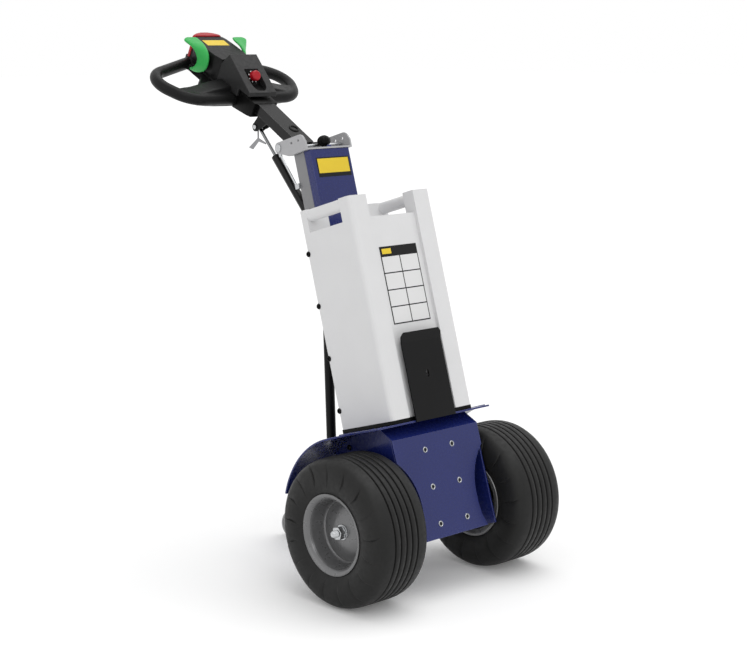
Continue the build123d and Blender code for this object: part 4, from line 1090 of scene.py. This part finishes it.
@dataclass
class Battery:
    """Battery housing with its tray, plugs, retaining plate and blank sign sheet."""

    half_width: float = 125.0
    plug_depth: float = 167.0
    plug_heights: tuple[float, ...] = (43.0, 163.0, 283.0, 403.0)
    plug_radius: float = 6.5
    plug_height: float = 3.0
    recess_depth: float = 8.0
    sign_half: float = 57.0
    sign_low: float = 207.0
    sign_high: float = 382.0
    header: float = 22.0
    rows: int = 4
    line: float = 2.6
    ground_rise: float = 0.5
    cell_rise: float = 0.65
    tag_start: float = 6.0
    tag_end: float = 34.0
    tag_half: float = 6.0

    def build(self) -> None:
        """Build every piece of the battery."""
        eased("battery_case", SHELL, 3.0, 4, 40.0)
        eased("battery_tray", BLACK_PLASTIC, 0.8)
        eased("retaining_plate", BLACK, 0.8, 2, 8.0, 6.0)
        self.plugs()
        self.sign()

    def plugs(self) -> None:
        """Build the eight plugs of the housing's sides."""
        form = Form()
        for _, side in SIDES:
            for height in self.plug_heights:
                place = (side * self.half_width, self.plug_depth, height)
                screw(form, place, (side, 0, 0), self.plug_radius, self.plug_height)
        form.finish("battery_plugs_domed", "chassis", BLACK_PLASTIC, LEAN.matrix(), 30.0,
                    ("battery_plugs",))

    def tile(self, form: Form, x: Point2, z: Point2, rise: float) -> None:
        """Add a thin tile to the sign sheet.

        Args:
            form: The form.
            x: Left and right, mm.
            z: Lower and upper edge, mm.
            rise: How far its face stands out of the recess, mm.
        """
        seat = self.recess_depth
        form.block((x[0], seat - rise, z[0]), (x[1], seat + 0.1, z[1]))

    def sign(self) -> None:
        """Build the sheet: black ground, white cells and a yellow tag."""
        half, low, high, line = self.sign_half, self.sign_low, self.sign_high, self.line
        ground = Form()
        self.tile(ground, (-half, half), (low, high), self.ground_rise)
        ground.bevel(0.2, 1).finish("sign_ground", "chassis", BLACK_PRINT_AND_SHADE, LEAN.matrix())
        cells = Form()
        pitch = (high - self.header - low - line / 2) / self.rows
        for row in range(self.rows):
            foot = low + line + row * pitch
            for x in ((-half + line, -line / 2), (line / 2, half - line)):
                self.tile(cells, x, (foot, foot + pitch - line), self.cell_rise)
        cells.bevel(0.1, 1).finish("sign_cells", "chassis", PRINT_WHITE, LEAN.matrix())
        middle, reach = high - self.header / 2, self.tag_half
        tag = Form()
        self.tile(tag, (self.tag_start - half, self.tag_end - half),
                  (middle - reach, middle + reach), self.cell_rise)
        tag.bevel(0.1, 1).finish("sign_tag", "chassis", YELLOW, LEAN.matrix())


@dataclass
class Column:
    """Column cover and post, top bracket, pivot and clamp knob."""

    front: float = 167.5
    plate_x: Point2 = (-44.5, 50.0)
    plate_z: Point2 = (585.5, 619.5)
    border: float = 2.8
    lower_border: float = 9.0
    stay: tuple[Point3, Point3] = ((-63.5, 232.0, 570.0), (-63.5, 267.0, 652.0))
    stay_radius: float = 2.5
    tab_x: Point2 = (-4.0, 8.0)
    tab_z: Point2 = (636.0, 651.0)
    ear_start: float = 668.0
    ear_rounding: float = 9.0
    knob_place: Point2 = (181.5, 651.0)
    knob_radius: float = 16.0
    knob_lobes: int = 6
    knob_lobe_depth: float = 0.10
    rod_place: Point2 = (196.0, 657.0)
    rod_radius: float = 3.4
    rod_half: float = 65.0

    def build(self) -> None:
        """Build every piece of the column."""
        eased("column_cover", BLUE, 1.6, 3)
        eased("column_post", GREY, 1.6, 3)
        eased("pivot_shaft", ZINC, 0.7)
        self.bracket()
        self.knob()
        self.stay_rod()
        self.name_plate()

    def bracket(self) -> None:
        """Build the top bracket with the corners of its ears rounded."""
        form = form_in("top_bracket", LEAN)

        def ear_corner(edge: Edge) -> bool:
            """Tell whether an edge is an upper corner of an ear.

            Args:
                edge: The edge.

            Returns:
                Whether it is one.
            """
            run = edge.verts[1].co - edge.verts[0].co
            return abs(run.x) > 0.98 * run.length and edge.verts[0].co.z > self.ear_start
        form.bevel(self.ear_rounding, 5, 40.0, ear_corner)
        form.bevel(0.8, 2, 30.0)
        weigh(form.finish("top_bracket_eased", "chassis", LIGHT_GREY, LEAN.matrix(),
                          replaces=("top_bracket",)))

    def knob(self) -> None:
        """Build the clamp knob, a domed star grip."""
        form = Form()
        radius, middle = self.knob_radius, self.knob_place[0]
        form.turned(((-5.0, 0.0), (-5.0, 6.0), (1.0, 7.5), (3.5, radius - 4.0),
                     (7.0, radius - 1.0), (12.0, radius), (17.0, radius - 1.0),
                     (21.5, radius - 4.5), (24.5, radius - 9.5), (25.8, 0.0)), 72,
                    (0.0, *self.knob_place), (0, 0, 1))
        for vert in form.mesh.verts:
            x, y = vert.co.x, vert.co.y - middle
            if math.hypot(x, y) > radius / 2:
                wave = 0.5 + 0.5 * math.cos(self.knob_lobes * math.atan2(y, x))
                scale = 1.0 - self.knob_lobe_depth * wave ** 2
                vert.co.x, vert.co.y = x * scale, middle + y * scale
        form.finish("clamp_knob_domed", "chassis", BLACK_PLASTIC, LEAN.matrix(), 60.0,
                    ("clamp_knob",))

    def stay_rod(self) -> None:
        """Build the stay beside the column, the cross rod behind the knob and the cover's tab."""
        form = Form()
        start, end = Vector(self.stay[0]), Vector(self.stay[1])
        length, radius = (end - start).length, self.stay_radius
        form.turned(((0.0, 0.0), (0.0, radius), (length, radius), (length, 0.0)), 20, start,
                    end - start)
        form.block(start - Vector((3.5, 10.0, 6.0)), start + Vector((5.0, 3.5, 6.0)))
        form.block(end - Vector((3.0, 4.0, 3.0)), end + Vector((1.0, 4.0, 14.0)))
        form.bevel(0.5, 1, 60.0).finish("column_stay", "chassis", ZINC, LEAN.matrix(), 40.0)
        form = Form()
        half, radius = self.rod_half, self.rod_radius
        form.turned(((-half, 0.0), (-half, radius), (half, radius), (half, 0.0)), 24,
                    (0.0, *self.rod_place), (1, 0, 0))
        form.finish("bracket_cross_rod", "chassis", ZINC, LEAN.matrix(), 40.0)
        form = Form()
        (left, right), (low, high) = self.tab_x, self.tab_z
        form.block((left, self.front + 0.4, low), (right, self.front + 3.0, high))
        form.bevel(0.8, 2).finish("cover_tab", "chassis", BLUE, LEAN.matrix())

    def name_plate(self) -> None:
        """Build the blank yellow plate with its black border."""
        (left, right), (low, high) = self.plate_x, self.plate_z
        border = Form()
        border.block((left - self.border, self.front - 0.5, low - self.lower_border),
                     (right + self.border, self.front + 0.1, high + self.border))
        border.bevel(0.2, 1).finish("plate_border", "chassis", BLACK_PRINT_AND_SHADE, LEAN.matrix())
        yellow = Form()
        yellow.block((left, self.front - 0.7, low), (right, self.front + 0.1, high))
        yellow.bevel(0.15, 1).finish("plate_yellow", "chassis", YELLOW, LEAN.matrix())


@dataclass
class Tiller:
    """Flat tiller tube with its barrel, lug, clamp and grommet, and the gas spring."""

    tube_top: float = 18.4
    grommet_place: Point2 = (6.0, 50.0)
    grommet_radius: float = 13.0
    pin_place: Point2 = (156.0, -44.2)
    pin_x: float = 14.0
    pin_radius: float = 5.6
    clamp_foot: float = 2.0
    clamp_lift: float = 11.0

    def build(self) -> None:
        """Build every piece of the tiller and the gas spring."""
        eased("tiller_barrel", BLACK, 0.8)
        eased("tiller_tube", GLOSS_BLACK, 2.6, 4)
        eased("tiller_lug", BLACK, 0.6)
        self.clamp()
        eased("gas_cylinder", GLOSS_BLACK, 1.5, 3)
        eased("gas_rod", CHROME, 0.5)
        eased("release_lever", GALVANISED, 0.5)
        self.pin_heads()
        self.grommet()

    def clamp(self) -> None:
        """Build the head's clamp with its underside raised to where it shows on the machine."""
        form = form_in("head_clamp", HEAD)
        low = min(vert.co.z for vert in form.mesh.verts)
        for vert in form.mesh.verts:
            if vert.co.z < low + self.clamp_foot:
                vert.co.z += self.clamp_lift
        form.bevel(1.2, 2)
        form.finish("head_clamp_eased", "tiller", BLACK_PLASTIC, HEAD.matrix(),
                    replaces=("head_clamp",))

    def pin_heads(self) -> None:
        """Build the two heads of the gas spring's upper pin."""
        form = Form()
        radius = self.pin_radius
        for _, side in SIDES:
            form.turned(((-0.5, 0.0), (-0.5, radius), (0.6, radius), (1.4, radius - 0.8),
                         (1.4, 0.0)), 28, (side * self.pin_x, *self.pin_place), (side, 0, 0))
        form.finish("spring_pin_heads", "tiller", ZINC, TILLER.matrix(), 40.0)

    def grommet(self) -> None:
        """Build the rubber grommet on the tube's top."""
        form = Form()
        radius, top = self.grommet_radius, self.tube_top
        form.turned(((-0.5, radius - 4.5), (-0.5, radius), (1.2, radius), (2.6, radius - 1.2),
                     (3.0, radius - 2.4), (2.4, radius - 3.8), (1.0, radius - 4.5)), 40,
                    (*self.grommet_place, top), (0, 0, 1))
        form.finish("tube_grommet", "tiller", TYRE_RUBBER, TILLER.matrix(), 50.0)


@dataclass
class Head:
    """Tiller head: handle loop, spine, control panel, switch, levers and button."""

    path: tuple[Point2, ...] = ((30.0, 84.2), (221.6, 2.7), (162.6, -111.5))
    corner: float = 65.0
    tube_radius: float = 14.5
    sections: tuple[Section, ...] = (
        (0.0, ((-120.0, -23.0), (-60.0, -23.0), (-50.0, 30.0), (-100.0, 31.0)),
         (12.0, 8.0, 6.0, 4.0)),
        (45.0, ((-121.0, -23.0), (-62.0, -23.0), (-53.0, 27.0), (-101.0, 28.0)),
         (12.0, 8.0, 6.0, 4.0)),
        (85.0, ((-123.0, -22.0), (-66.0, -21.0), (-55.0, 21.0), (-104.0, 23.0)),
         (12.0, 8.0, 7.0, 5.0)),
        (115.0, ((-125.0, -20.0), (-70.0, -18.0), (-58.0, 17.0), (-108.0, 18.0)),
         (12.0, 8.0, 8.0, 7.0)),
        (140.0, ((-124.0, -17.0), (-70.0, -15.0), (-60.0, 13.5), (-111.0, 14.0)),
         (11.0, 9.0, 9.0, 9.0)),
        (160.0, ((-112.0, -14.5), (-68.0, -13.0), (-62.0, 12.0), (-101.0, 12.5)),
         (10.0, 9.0, 9.0, 9.0)),
        (174.0, ((-97.0, -12.5), (-69.0, -12.0), (-65.0, 11.0), (-90.0, 11.0)),
         (8.0, 8.0, 8.0, 8.0)))
    base: tuple[Point2, ...] = (
        (100.0, -60.0), (84.0, -28.0), (56.0, 3.0), (54.0, 56.0), (44.0, 100.0))
    base_back: float = 90.0
    base_low: float = -8.0
    base_high: float = 6.0
    base_draft: float = 5.0
    spine_half: float = 40.0
    spine_foot: Point2 = (-44.0, 96.0)
    spine_foot_high: float = 18.0
    pocket_half: float = 21.0
    pocket_turn: float = -145.0
    pocket_floor: float = 45.0
    pocket_back: float = -129.0
    pocket_wall: tuple[Point2, ...] = (
        (-131.0, 44.5), (-105.0, 75.5), (-106.0, 77.0), (-132.0, 46.2))
    switch_seat: Point2 = (-117.0, 60.5)
    switch_run: Point3 = (0.0, 26.0, 31.0)
    switch_base: tuple[Point2, ...] = ((-1.0, 0.0), (-1.0, 16.0), (3.0, 16.0), (4.2, 14.6),
                                       (4.2, 11.2), (3.0, 11.0), (3.0, 0.0))
    tick_count: int = 8
    tick: tuple[Point3, Point3] = ((-1.4, 11.0, 4.0), (1.4, 15.0, 5.0))
    panel_front: Point2 = (-170.0, 46.0)
    panel_back: Point2 = (-63.0, 94.0)
    panel_plate: Point2 = (38.0, 60.0)
    strip_half: float = 33.5
    strip_run: Point2 = (31.0, 58.0)
    spine_run: tuple[Point2, Point2] = ((17.5, 71.0), (78.5, 72.0))
    lever_steps: int = 40
    lever_thickness: float = 8.0
    lever_crown: float = 2.4
    lever_back_crown: float = 0.2
    lever_facets: int = 20
    lever_square: Point2 = (0.55, 0.75)
    lever_end: int = 3
    lever_end_depth: float = 0.35
    lever_end_pinch: float = 0.16
    lever_hub: Point2 = (5.0, 46.0)
    lever_hub_profile: tuple[Point2, ...] = (
        (-2.0, 0.0), (-2.0, 9.0), (18.0, 9.0), (20.0, 7.0), (20.0, 0.0))
    lever_edges: tuple[tuple[Point3, Point3], ...] = (
        ((56.0, 58.0, 76.5), (86.0, 57.0, 77.0)), ((53.0, 41.0, 75.0), (96.0, 49.0, 73.5)),
        ((53.0, 19.0, 74.0), (86.0, 35.0, 68.0)), ((53.0, -2.0, 68.0), (74.0, 25.0, 60.0)),
        ((53.0, -11.0, 57.0), (67.0, 20.0, 50.0)), ((53.0, -14.0, 43.0), (63.0, 18.0, 40.0)),
        ((53.0, -10.0, 26.0), (62.0, 20.0, 28.0)), ((53.0, 7.0, 14.0), (61.0, 31.0, 15.0)),
        ((54.0, 30.0, 7.0), (62.0, 44.0, 8.0)))
    spine_top: tuple[Point2, ...] = (
        (44.0, 78.5), (48.0, 66.0), (51.0, 40.0), (52.0, 0.0), (50.0, -20.0), (43.0, -45.0))
    spine_low: float = 16.0
    spine_high: float = 71.5
    spine_draft: float = 8.0

    def build(self) -> None:
        """Build every piece of the head."""
        self.loop()
        self.spine()
        self.moulding("belly_button", RED, 1.2, 10)
        self.panel()
        self.pocket_liner()
        for name, side in SIDES:
            self.lever(name, side)
        self.switch()
        self.yellow_strip()

    def moulding(self, node: str, finish: Finish, voxel: float, passes: int) -> None:
        """Dress a solid as a softened moulding.

        Args:
            node: Name of the solid.
            finish: Its finish.
            voxel: Grid of its surface, mm.
            passes: Smoothing passes.
        """
        body = frame["nodes"][node]["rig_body"]
        piece = form_of(node).finish(f"{node}_moulded", body, finish, TO_METRES,
                                     replaces=(node,))
        dress(remoulded(piece, voxel, passes), body, finish, 60.0)

    def section(self, form: Form, x: float, corners: Sequence[Point2],
                radii: Sequence[float]) -> list[Edge]:
        """Add one section of the handle's deep body, a four-sided shape with rounded corners.

        Args:
            form: The form.
            x: Its place across, mm.
            corners: Its corners as (along, up), mm.
            radii: Radius of each corner, mm.

        Returns:
            The section's edges.
        """
        ring = [form.mesh.verts.new((x, along, up)) for along, up in rounded(corners, radii, 6)]
        return [form.mesh.edges.new(pair) for pair in zip(ring, ring[1:] + ring[:1])]

    def loop(self) -> None:
        """Build the handle loop, its deep body and its base as one moulding."""
        form = Form()
        self.tube(form)
        for _, side in SIDES:
            rings = [self.section(form, side * x, corners, radii)
                     for x, corners, radii in self.sections]
            for first, second in zip(rings, rings[1:]):
                bmesh.ops.bridge_loops(form.mesh, edges=first + second)
            for ring in (rings[0], rings[-1]):
                bmesh.ops.contextual_create(form.mesh, geom=ring)
        outline = list(self.base) + [(-x, along) for x, along in reversed(self.base)]
        for vert in form.plate(outline, self.base_low, self.base_high):
            if abs(vert.co.z - self.base_high) < 0.1:
                vert.co.x -= math.copysign(self.base_draft, vert.co.x)
                vert.co.y -= self.base_draft if vert.co.y > self.base_back else 0.0
        front, back = self.spine_foot
        form.block((-self.spine_half, front, self.base_low + 1),
                   (self.spine_half, back, self.spine_foot_high))
        piece = form.finish("handle_loop_moulded", "tiller", HANDLE, HEAD.matrix(),
                            replaces=("handle_loop",))
        dress(remoulded(piece, 1.7, 3), "tiller", HANDLE, 60.0)

    def spine(self) -> None:
        """Build the spine: a boss that is widest across its middle."""
        form = form_in("head_core", HEAD)
        outline = list(self.spine_top) + [(-x, along) for x, along in reversed(self.spine_top)]
        for vert in form.plate(outline, self.spine_low, self.spine_high):
            if vert.co.z < self.spine_high - 1:
                vert.co.x -= math.copysign(self.spine_draft, vert.co.x)
        piece = form.finish("head_core_moulded", "tiller", HANDLE, HEAD.matrix(),
                            replaces=("head_core",))
        dress(remoulded(piece, 1.0, 2), "tiller", HANDLE, 50.0)

    def pocket_arc(self, half: float, depth: float) -> list[Point2]:
        """Give the round front end of the panel's pocket.

        Args:
            half: Half its width, mm.
            depth: How far it reaches to the front, mm.

        Returns:
            Its points as (x, along), mm.
        """
        angles = [math.pi * n / 16 for n in range(17)]
        return [(half * math.cos(a), self.pocket_turn - depth * math.sin(a)) for a in angles]

    def panel(self) -> None:
        """Build the control panel: the solid's form with the pocket closed round at its front."""
        form = form_in("control_panel", HEAD)
        half, turn = self.pocket_half, self.pocket_turn
        front, low = self.panel_front
        back, high = self.panel_back
        floor, top = self.panel_plate
        outline = self.pocket_arc(half, half) + [(-half - 1, turn), (-half - 1, front - 1),
                                                 (half + 1, front - 1), (half + 1, turn)]
        slope = (high - low) / (back - front)
        for vert in form.plate(outline, floor, top):
            if vert.co.z > top - 10.0:
                vert.co.z = low + (max(vert.co.y, front) - front) * slope
        piece = form.finish("control_panel_moulded", "tiller", PANEL, HEAD.matrix(),
                            replaces=("control_panel",))
        dress(remoulded(piece, 0.9, 2), "tiller", PANEL, 60.0)

    def pocket_liner(self) -> None:
        """Build the black floor and back wall of the panel's pocket."""
        form = Form()
        half, floor = self.pocket_half - 0.4, self.pocket_floor
        arc = self.pocket_arc(half, half - 1)
        back = [(-half, self.pocket_back), (half, self.pocket_back)]
        form.plate(arc + back, floor - 0.6, floor + 1.2)
        form.prism(self.pocket_wall, -half, half)
        form.bevel(0.4, 1).finish("pocket_liner", "tiller", BLACK_PLASTIC, HEAD.matrix())

    def lever(self, name: str, side: float) -> None:
        """Build one butterfly lever: a curved wing with a crowned face, and its hub.

        Args:
            name: Side of the lever.
            side: Sign of its x.
        """
        form = Form()
        inner = spline([Vector(pair[0]) for pair in self.lever_edges], self.lever_steps)
        outer = spline([Vector(pair[1]) for pair in self.lever_edges], self.lever_steps)
        last = len(inner) - 1
        rings = []
        for number, (first, second) in enumerate(zip(inner, outer)):
            ahead = inner[min(number + 1, last)] + outer[min(number + 1, last)]
            behind = inner[max(number - 1, 0)] + outer[max(number - 1, 0)]
            gap = max(0.0, 1.0 - min(number, last - number) / self.lever_end)
            points = self.lever_ring(first, second, ahead - behind, math.sqrt(1.0 - gap ** 2))
            ring = [form.mesh.verts.new((side * point.x, point.y, point.z)) for point in points]
            rings.append([form.mesh.edges.new(pair) for pair in zip(ring, ring[1:] + ring[:1])])
        for near, far in zip(rings, rings[1:]):
            bmesh.ops.bridge_loops(form.mesh, edges=near + far)
        for ring in (rings[0], rings[-1]):
            bmesh.ops.contextual_create(form.mesh, geom=ring)
        seat = (side * (self.spine_half - 1.0), *self.lever_hub)
        form.turned(self.lever_hub_profile, 32, seat, (side, 0, 0))
        piece = form.finish(f"throttle_lever_{name}_wing", "tiller", GREEN, HEAD.matrix(), 60.0,
                            (f"throttle_lever_{name}",))
        dress(remoulded(piece, 0.9, 4), "tiller", GREEN, 60.0)

    def lever_ring(self, first: Vector, second: Vector, run: Vector, share: float) -> list[Vector]:
        """Give one cross section of a lever's wing.

        Args:
            first: Its inner end, mm.
            second: Its outer end, mm.
            run: Direction along the wing.
            share: Share of its full depth and width, 0 at the wing's ends.

        Returns:
            Its points, mm.
        """
        across = (second - first).normalized()
        face = across.cross(run).normalized()
        width = (second - first).length
        least = self.lever_end_depth
        depth = self.lever_thickness * (least + (1.0 - least) * share)
        reach = width / 2 - (1.0 - share) * self.lever_end_pinch * width
        middle = (first + second) / 2 - face * depth / 2
        sharp_side, sharp_face = self.lever_square
        points = []
        for step in range(self.lever_facets):
            angle = math.tau * step / self.lever_facets
            side = math.copysign(abs(math.cos(angle)) ** sharp_side, math.cos(angle))
            lift = math.copysign(abs(math.sin(angle)) ** sharp_face, math.sin(angle))
            crown = self.lever_crown * (1 - side * side) * (1.0 if lift > 0
                                                            else self.lever_back_crown)
            points.append(middle + across * side * reach + face * (lift * depth / 2 + crown))
        return points

    def switch(self) -> None:
        """Build the key switch: black base and collar with white ticks, red knob."""
        eased("switch_collar", BLACK_PLASTIC, 0.8)
        eased("switch_knob", RED, 0.8)
        run = Vector(self.switch_run).normalized()
        axis = Vector((0.0, -run.z, run.y))
        centre = Vector((0.0, *self.switch_seat))
        base = Form()
        base.turned(self.switch_base, 40, centre, axis)
        base.finish("switch_base", "tiller", BLACK_PLASTIC, HEAD.matrix(), 40.0)
        ticks = Form()
        lie = Vector((0, 0, 1)).rotation_difference(axis).to_matrix().to_4x4()
        for number in range(self.tick_count):
            spin = Matrix.Rotation(math.tau * (number + 0.5) / self.tick_count, 4, axis)
            bmesh.ops.transform(ticks.mesh, verts=ticks.block(*self.tick),
                                matrix=Matrix.Translation(centre) @ spin @ lie)
        ticks.bevel(0.3, 1).finish("switch_ticks", "tiller", PRINT_WHITE, HEAD.matrix())

    def tube(self, form: Form) -> None:
        """Draw the round tube of the loop: straight runs and turned corners.

        Args:
            form: The form.
        """
        half = [Vector((*place, 0)) for place in self.path]
        corners = [Vector((-p.x, p.y, 0)) for p in half] + half[::-1]
        here = corners[0]
        turn = Matrix.Rotation(math.pi / 2, 4, "Y")
        ring = bmesh.ops.create_circle(form.mesh, cap_ends=True, segments=28,
                                       radius=self.tube_radius, matrix=turn)
        heading = (corners[1] - here).normalized()
        aim = Vector((1, 0, 0)).rotation_difference(heading).to_matrix().to_4x4()
        bmesh.ops.transform(form.mesh, verts=ring["verts"],
                            matrix=Matrix.Translation(here) @ aim)
        end = [f for v in ring["verts"] for f in v.link_faces][:1]
        for number in range(1, len(corners) - 1):
            before = (corners[number] - corners[number - 1]).normalized()
            after = (corners[number + 1] - corners[number]).normalized()
            angle = before.angle(after)
            reach = self.corner * math.tan(angle / 2)
            bend = corners[number] - before * reach
            end = self.pull(form, end, bend - here)
            side = before.cross(after).z
            centre = bend + Vector((-before.y, before.x, 0)) * math.copysign(self.corner, side)
            edge = [e for f in end for e in f.edges] + [v for f in end for v in f.verts] + end
            made = bmesh.ops.spin(form.mesh, geom=edge, cent=centre, axis=(0, 0, 1),
                                  dvec=(0, 0, 0), angle=math.copysign(angle, side), steps=14,
                                  use_merge=False, use_duplicate=False)
            end = [g for g in made["geom_last"] if isinstance(g, Face)]
            here = corners[number] + after * reach
        self.pull(form, end, corners[-1] - here)

    def pull(self, form: Form, end: list[Face], travel: Vector) -> list[Face]:
        """Draw the tube's end on along a straight run.

        Args:
            form: The form.
            end: The end's face.
            travel: The run, mm.

        Returns:
            The new end's face.
        """
        made = bmesh.ops.extrude_face_region(form.mesh, geom=end)["geom"]
        verts = [v for v in made if isinstance(v, Vert)]
        bmesh.ops.translate(form.mesh, verts=verts, vec=travel)
        return [f for f in made if isinstance(f, Face)]

    def yellow_strip(self) -> None:
        """Build the blank yellow strip on the spine."""
        half, (start, end) = self.strip_half, self.strip_run
        (foot, foot_up), (back, back_up) = self.spine_run
        slope = (back_up - foot_up) / (back - foot)
        low = foot_up + (start - foot) * slope
        high = foot_up + (end - foot) * slope
        form = Form()
        form.prism(((start, low - 1.0), (end, high - 1.0), (end, high + 0.5), (start, low + 0.5)),
                   -half, half)
        form.bevel(0.2, 1).finish("head_strip", "tiller", YELLOW, HEAD.matrix())


@dataclass
class Studio:
    """Pale floor, white surroundings, soft lamps and the camera."""

    floor_size: float = 40.0
    floor_grey: float = 0.94
    floor_glow: float = 0.10
    sky: float = 0.58
    camera_place: Point3 = (-2.56948, -2.57165, 1.22127)
    camera_turn: Point3 = (80.11, 0.0, -43.16)
    lens: float = 80.28
    lamps: tuple[tuple[str, Point3, float, float], ...] = (
        ("top_lamp", (0.30, -0.15, 1.0), 1.25, 55.0),
        ("key_lamp", (-0.45, -1.0, 0.90), 0.42, 30.0),
        ("fill_lamp", (-1.0, 0.10, 0.50), 0.26, 50.0))

    def build(self) -> None:
        """Build floor, surroundings, lamps and camera."""
        self.floor()
        self.world()
        for name, towards, power, spread in self.lamps:
            self.lamp(name, towards, power, spread)
        self.camera()
        bpy.context.scene.view_settings.view_transform = "Standard"

    def seen(self, nodes: bpy.types.Nodes, links: bpy.types.NodeLinks) -> Socket:
        """Tell which rays the camera sees, directly, mirrored or through glass.

        Args:
            nodes: Nodes of the material or surroundings.
            links: Their links.

        Returns:
            1 for camera, glossy and transmission rays and 0 for the others.
        """
        path = nodes.new("ShaderNodeLightPath")
        first = nodes.new("ShaderNodeMath")
        second = nodes.new("ShaderNodeMath")
        first.operation = second.operation = "MAXIMUM"
        links.new(path.outputs["Is Camera Ray"], first.inputs[0])
        links.new(path.outputs["Is Glossy Ray"], first.inputs[1])
        links.new(first.outputs[0], second.inputs[0])
        links.new(path.outputs["Is Transmission Ray"], second.inputs[1])
        return second.outputs[0]

    def floor(self) -> None:
        """Build the floor, which keeps the machine's shadow and is white beyond it."""
        mesh = bmesh.new()
        bmesh.ops.create_grid(mesh, x_segments=4, y_segments=4, size=self.floor_size)
        data = bpy.data.meshes.new("studio_floor")
        mesh.to_mesh(data)
        mesh.free()
        floor = bpy.data.objects.new("studio_floor", data)
        bpy.context.scene.collection.objects.link(floor)
        material = bpy.data.materials.new("studio_floor")
        material.use_nodes = True
        nodes, links = material.node_tree.nodes, material.node_tree.links
        nodes.clear()
        diffuse = nodes.new("ShaderNodeBsdfDiffuse")
        diffuse.inputs["Color"].default_value = (*[self.floor_grey] * 3, 1.0)
        glow = nodes.new("ShaderNodeEmission")
        strength = nodes.new("ShaderNodeMath")
        strength.operation = "MULTIPLY"
        strength.inputs[1].default_value = self.floor_glow
        links.new(self.seen(nodes, links), strength.inputs[0])
        links.new(strength.outputs[0], glow.inputs["Strength"])
        both = nodes.new("ShaderNodeAddShader")
        links.new(diffuse.outputs[0], both.inputs[0])
        links.new(glow.outputs[0], both.inputs[1])
        out = nodes.new("ShaderNodeOutputMaterial")
        links.new(both.outputs[0], out.inputs["Surface"])
        data.materials.append(material)

    def world(self) -> None:
        """Build the white surroundings."""
        world = bpy.data.worlds.new("studio")
        bpy.context.scene.world = world
        world.use_nodes = True
        nodes, links = world.node_tree.nodes, world.node_tree.links
        ground = nodes["Background"]
        ground.inputs["Color"].default_value = (1.0, 1.0, 1.0, 1.0)
        spread = nodes.new("ShaderNodeMapRange")
        spread.inputs["To Min"].default_value = self.sky
        spread.inputs["To Max"].default_value = 1.0
        links.new(self.seen(nodes, links), spread.inputs["Value"])
        links.new(spread.outputs["Result"], ground.inputs["Strength"])

    def lamp(self, name: str, towards: Point3, power: float, spread: float) -> None:
        """Build one distant soft lamp.

        Args:
            name: Name of the lamp.
            towards: Direction in which it stands, seen from the machine.
            power: Its strength, W/m2.
            spread: Angle that it fills in the sky, degrees.
        """
        light = bpy.data.lights.new(name, "SUN")
        light.energy = power
        light.angle = math.radians(spread)
        lamp = bpy.data.objects.new(name, light)
        bpy.context.scene.collection.objects.link(lamp)
        lamp.location = Vector(towards) * 3
        lamp.rotation_euler = Vector(towards).to_track_quat("Z", "Y").to_euler()

    def camera(self) -> None:
        """Build the camera at the photograph's viewing angle."""
        data = bpy.data.cameras.new("camera")
        data.lens = self.lens
        data.sensor_width = 36.0
        camera = bpy.data.objects.new("camera", data)
        bpy.context.scene.collection.objects.link(camera)
        x, y, z = self.camera_place
        camera.location = (x, y + AXLE_Y * MM, z)
        camera.rotation_euler = [math.radians(a) for a in self.camera_turn]
        bpy.context.scene.camera = camera


def main() -> None:
    """Build the machine and its studio."""
    logging.basicConfig(level=logging.INFO, format="%(message)s")
    Studio().build()
    Wheels().build()
    Chassis().build()
    Castor().build()
    Battery().build()
    Column().build()
    Tiller().build()
    Head().build()


if __name__ == "__main__":
    main()
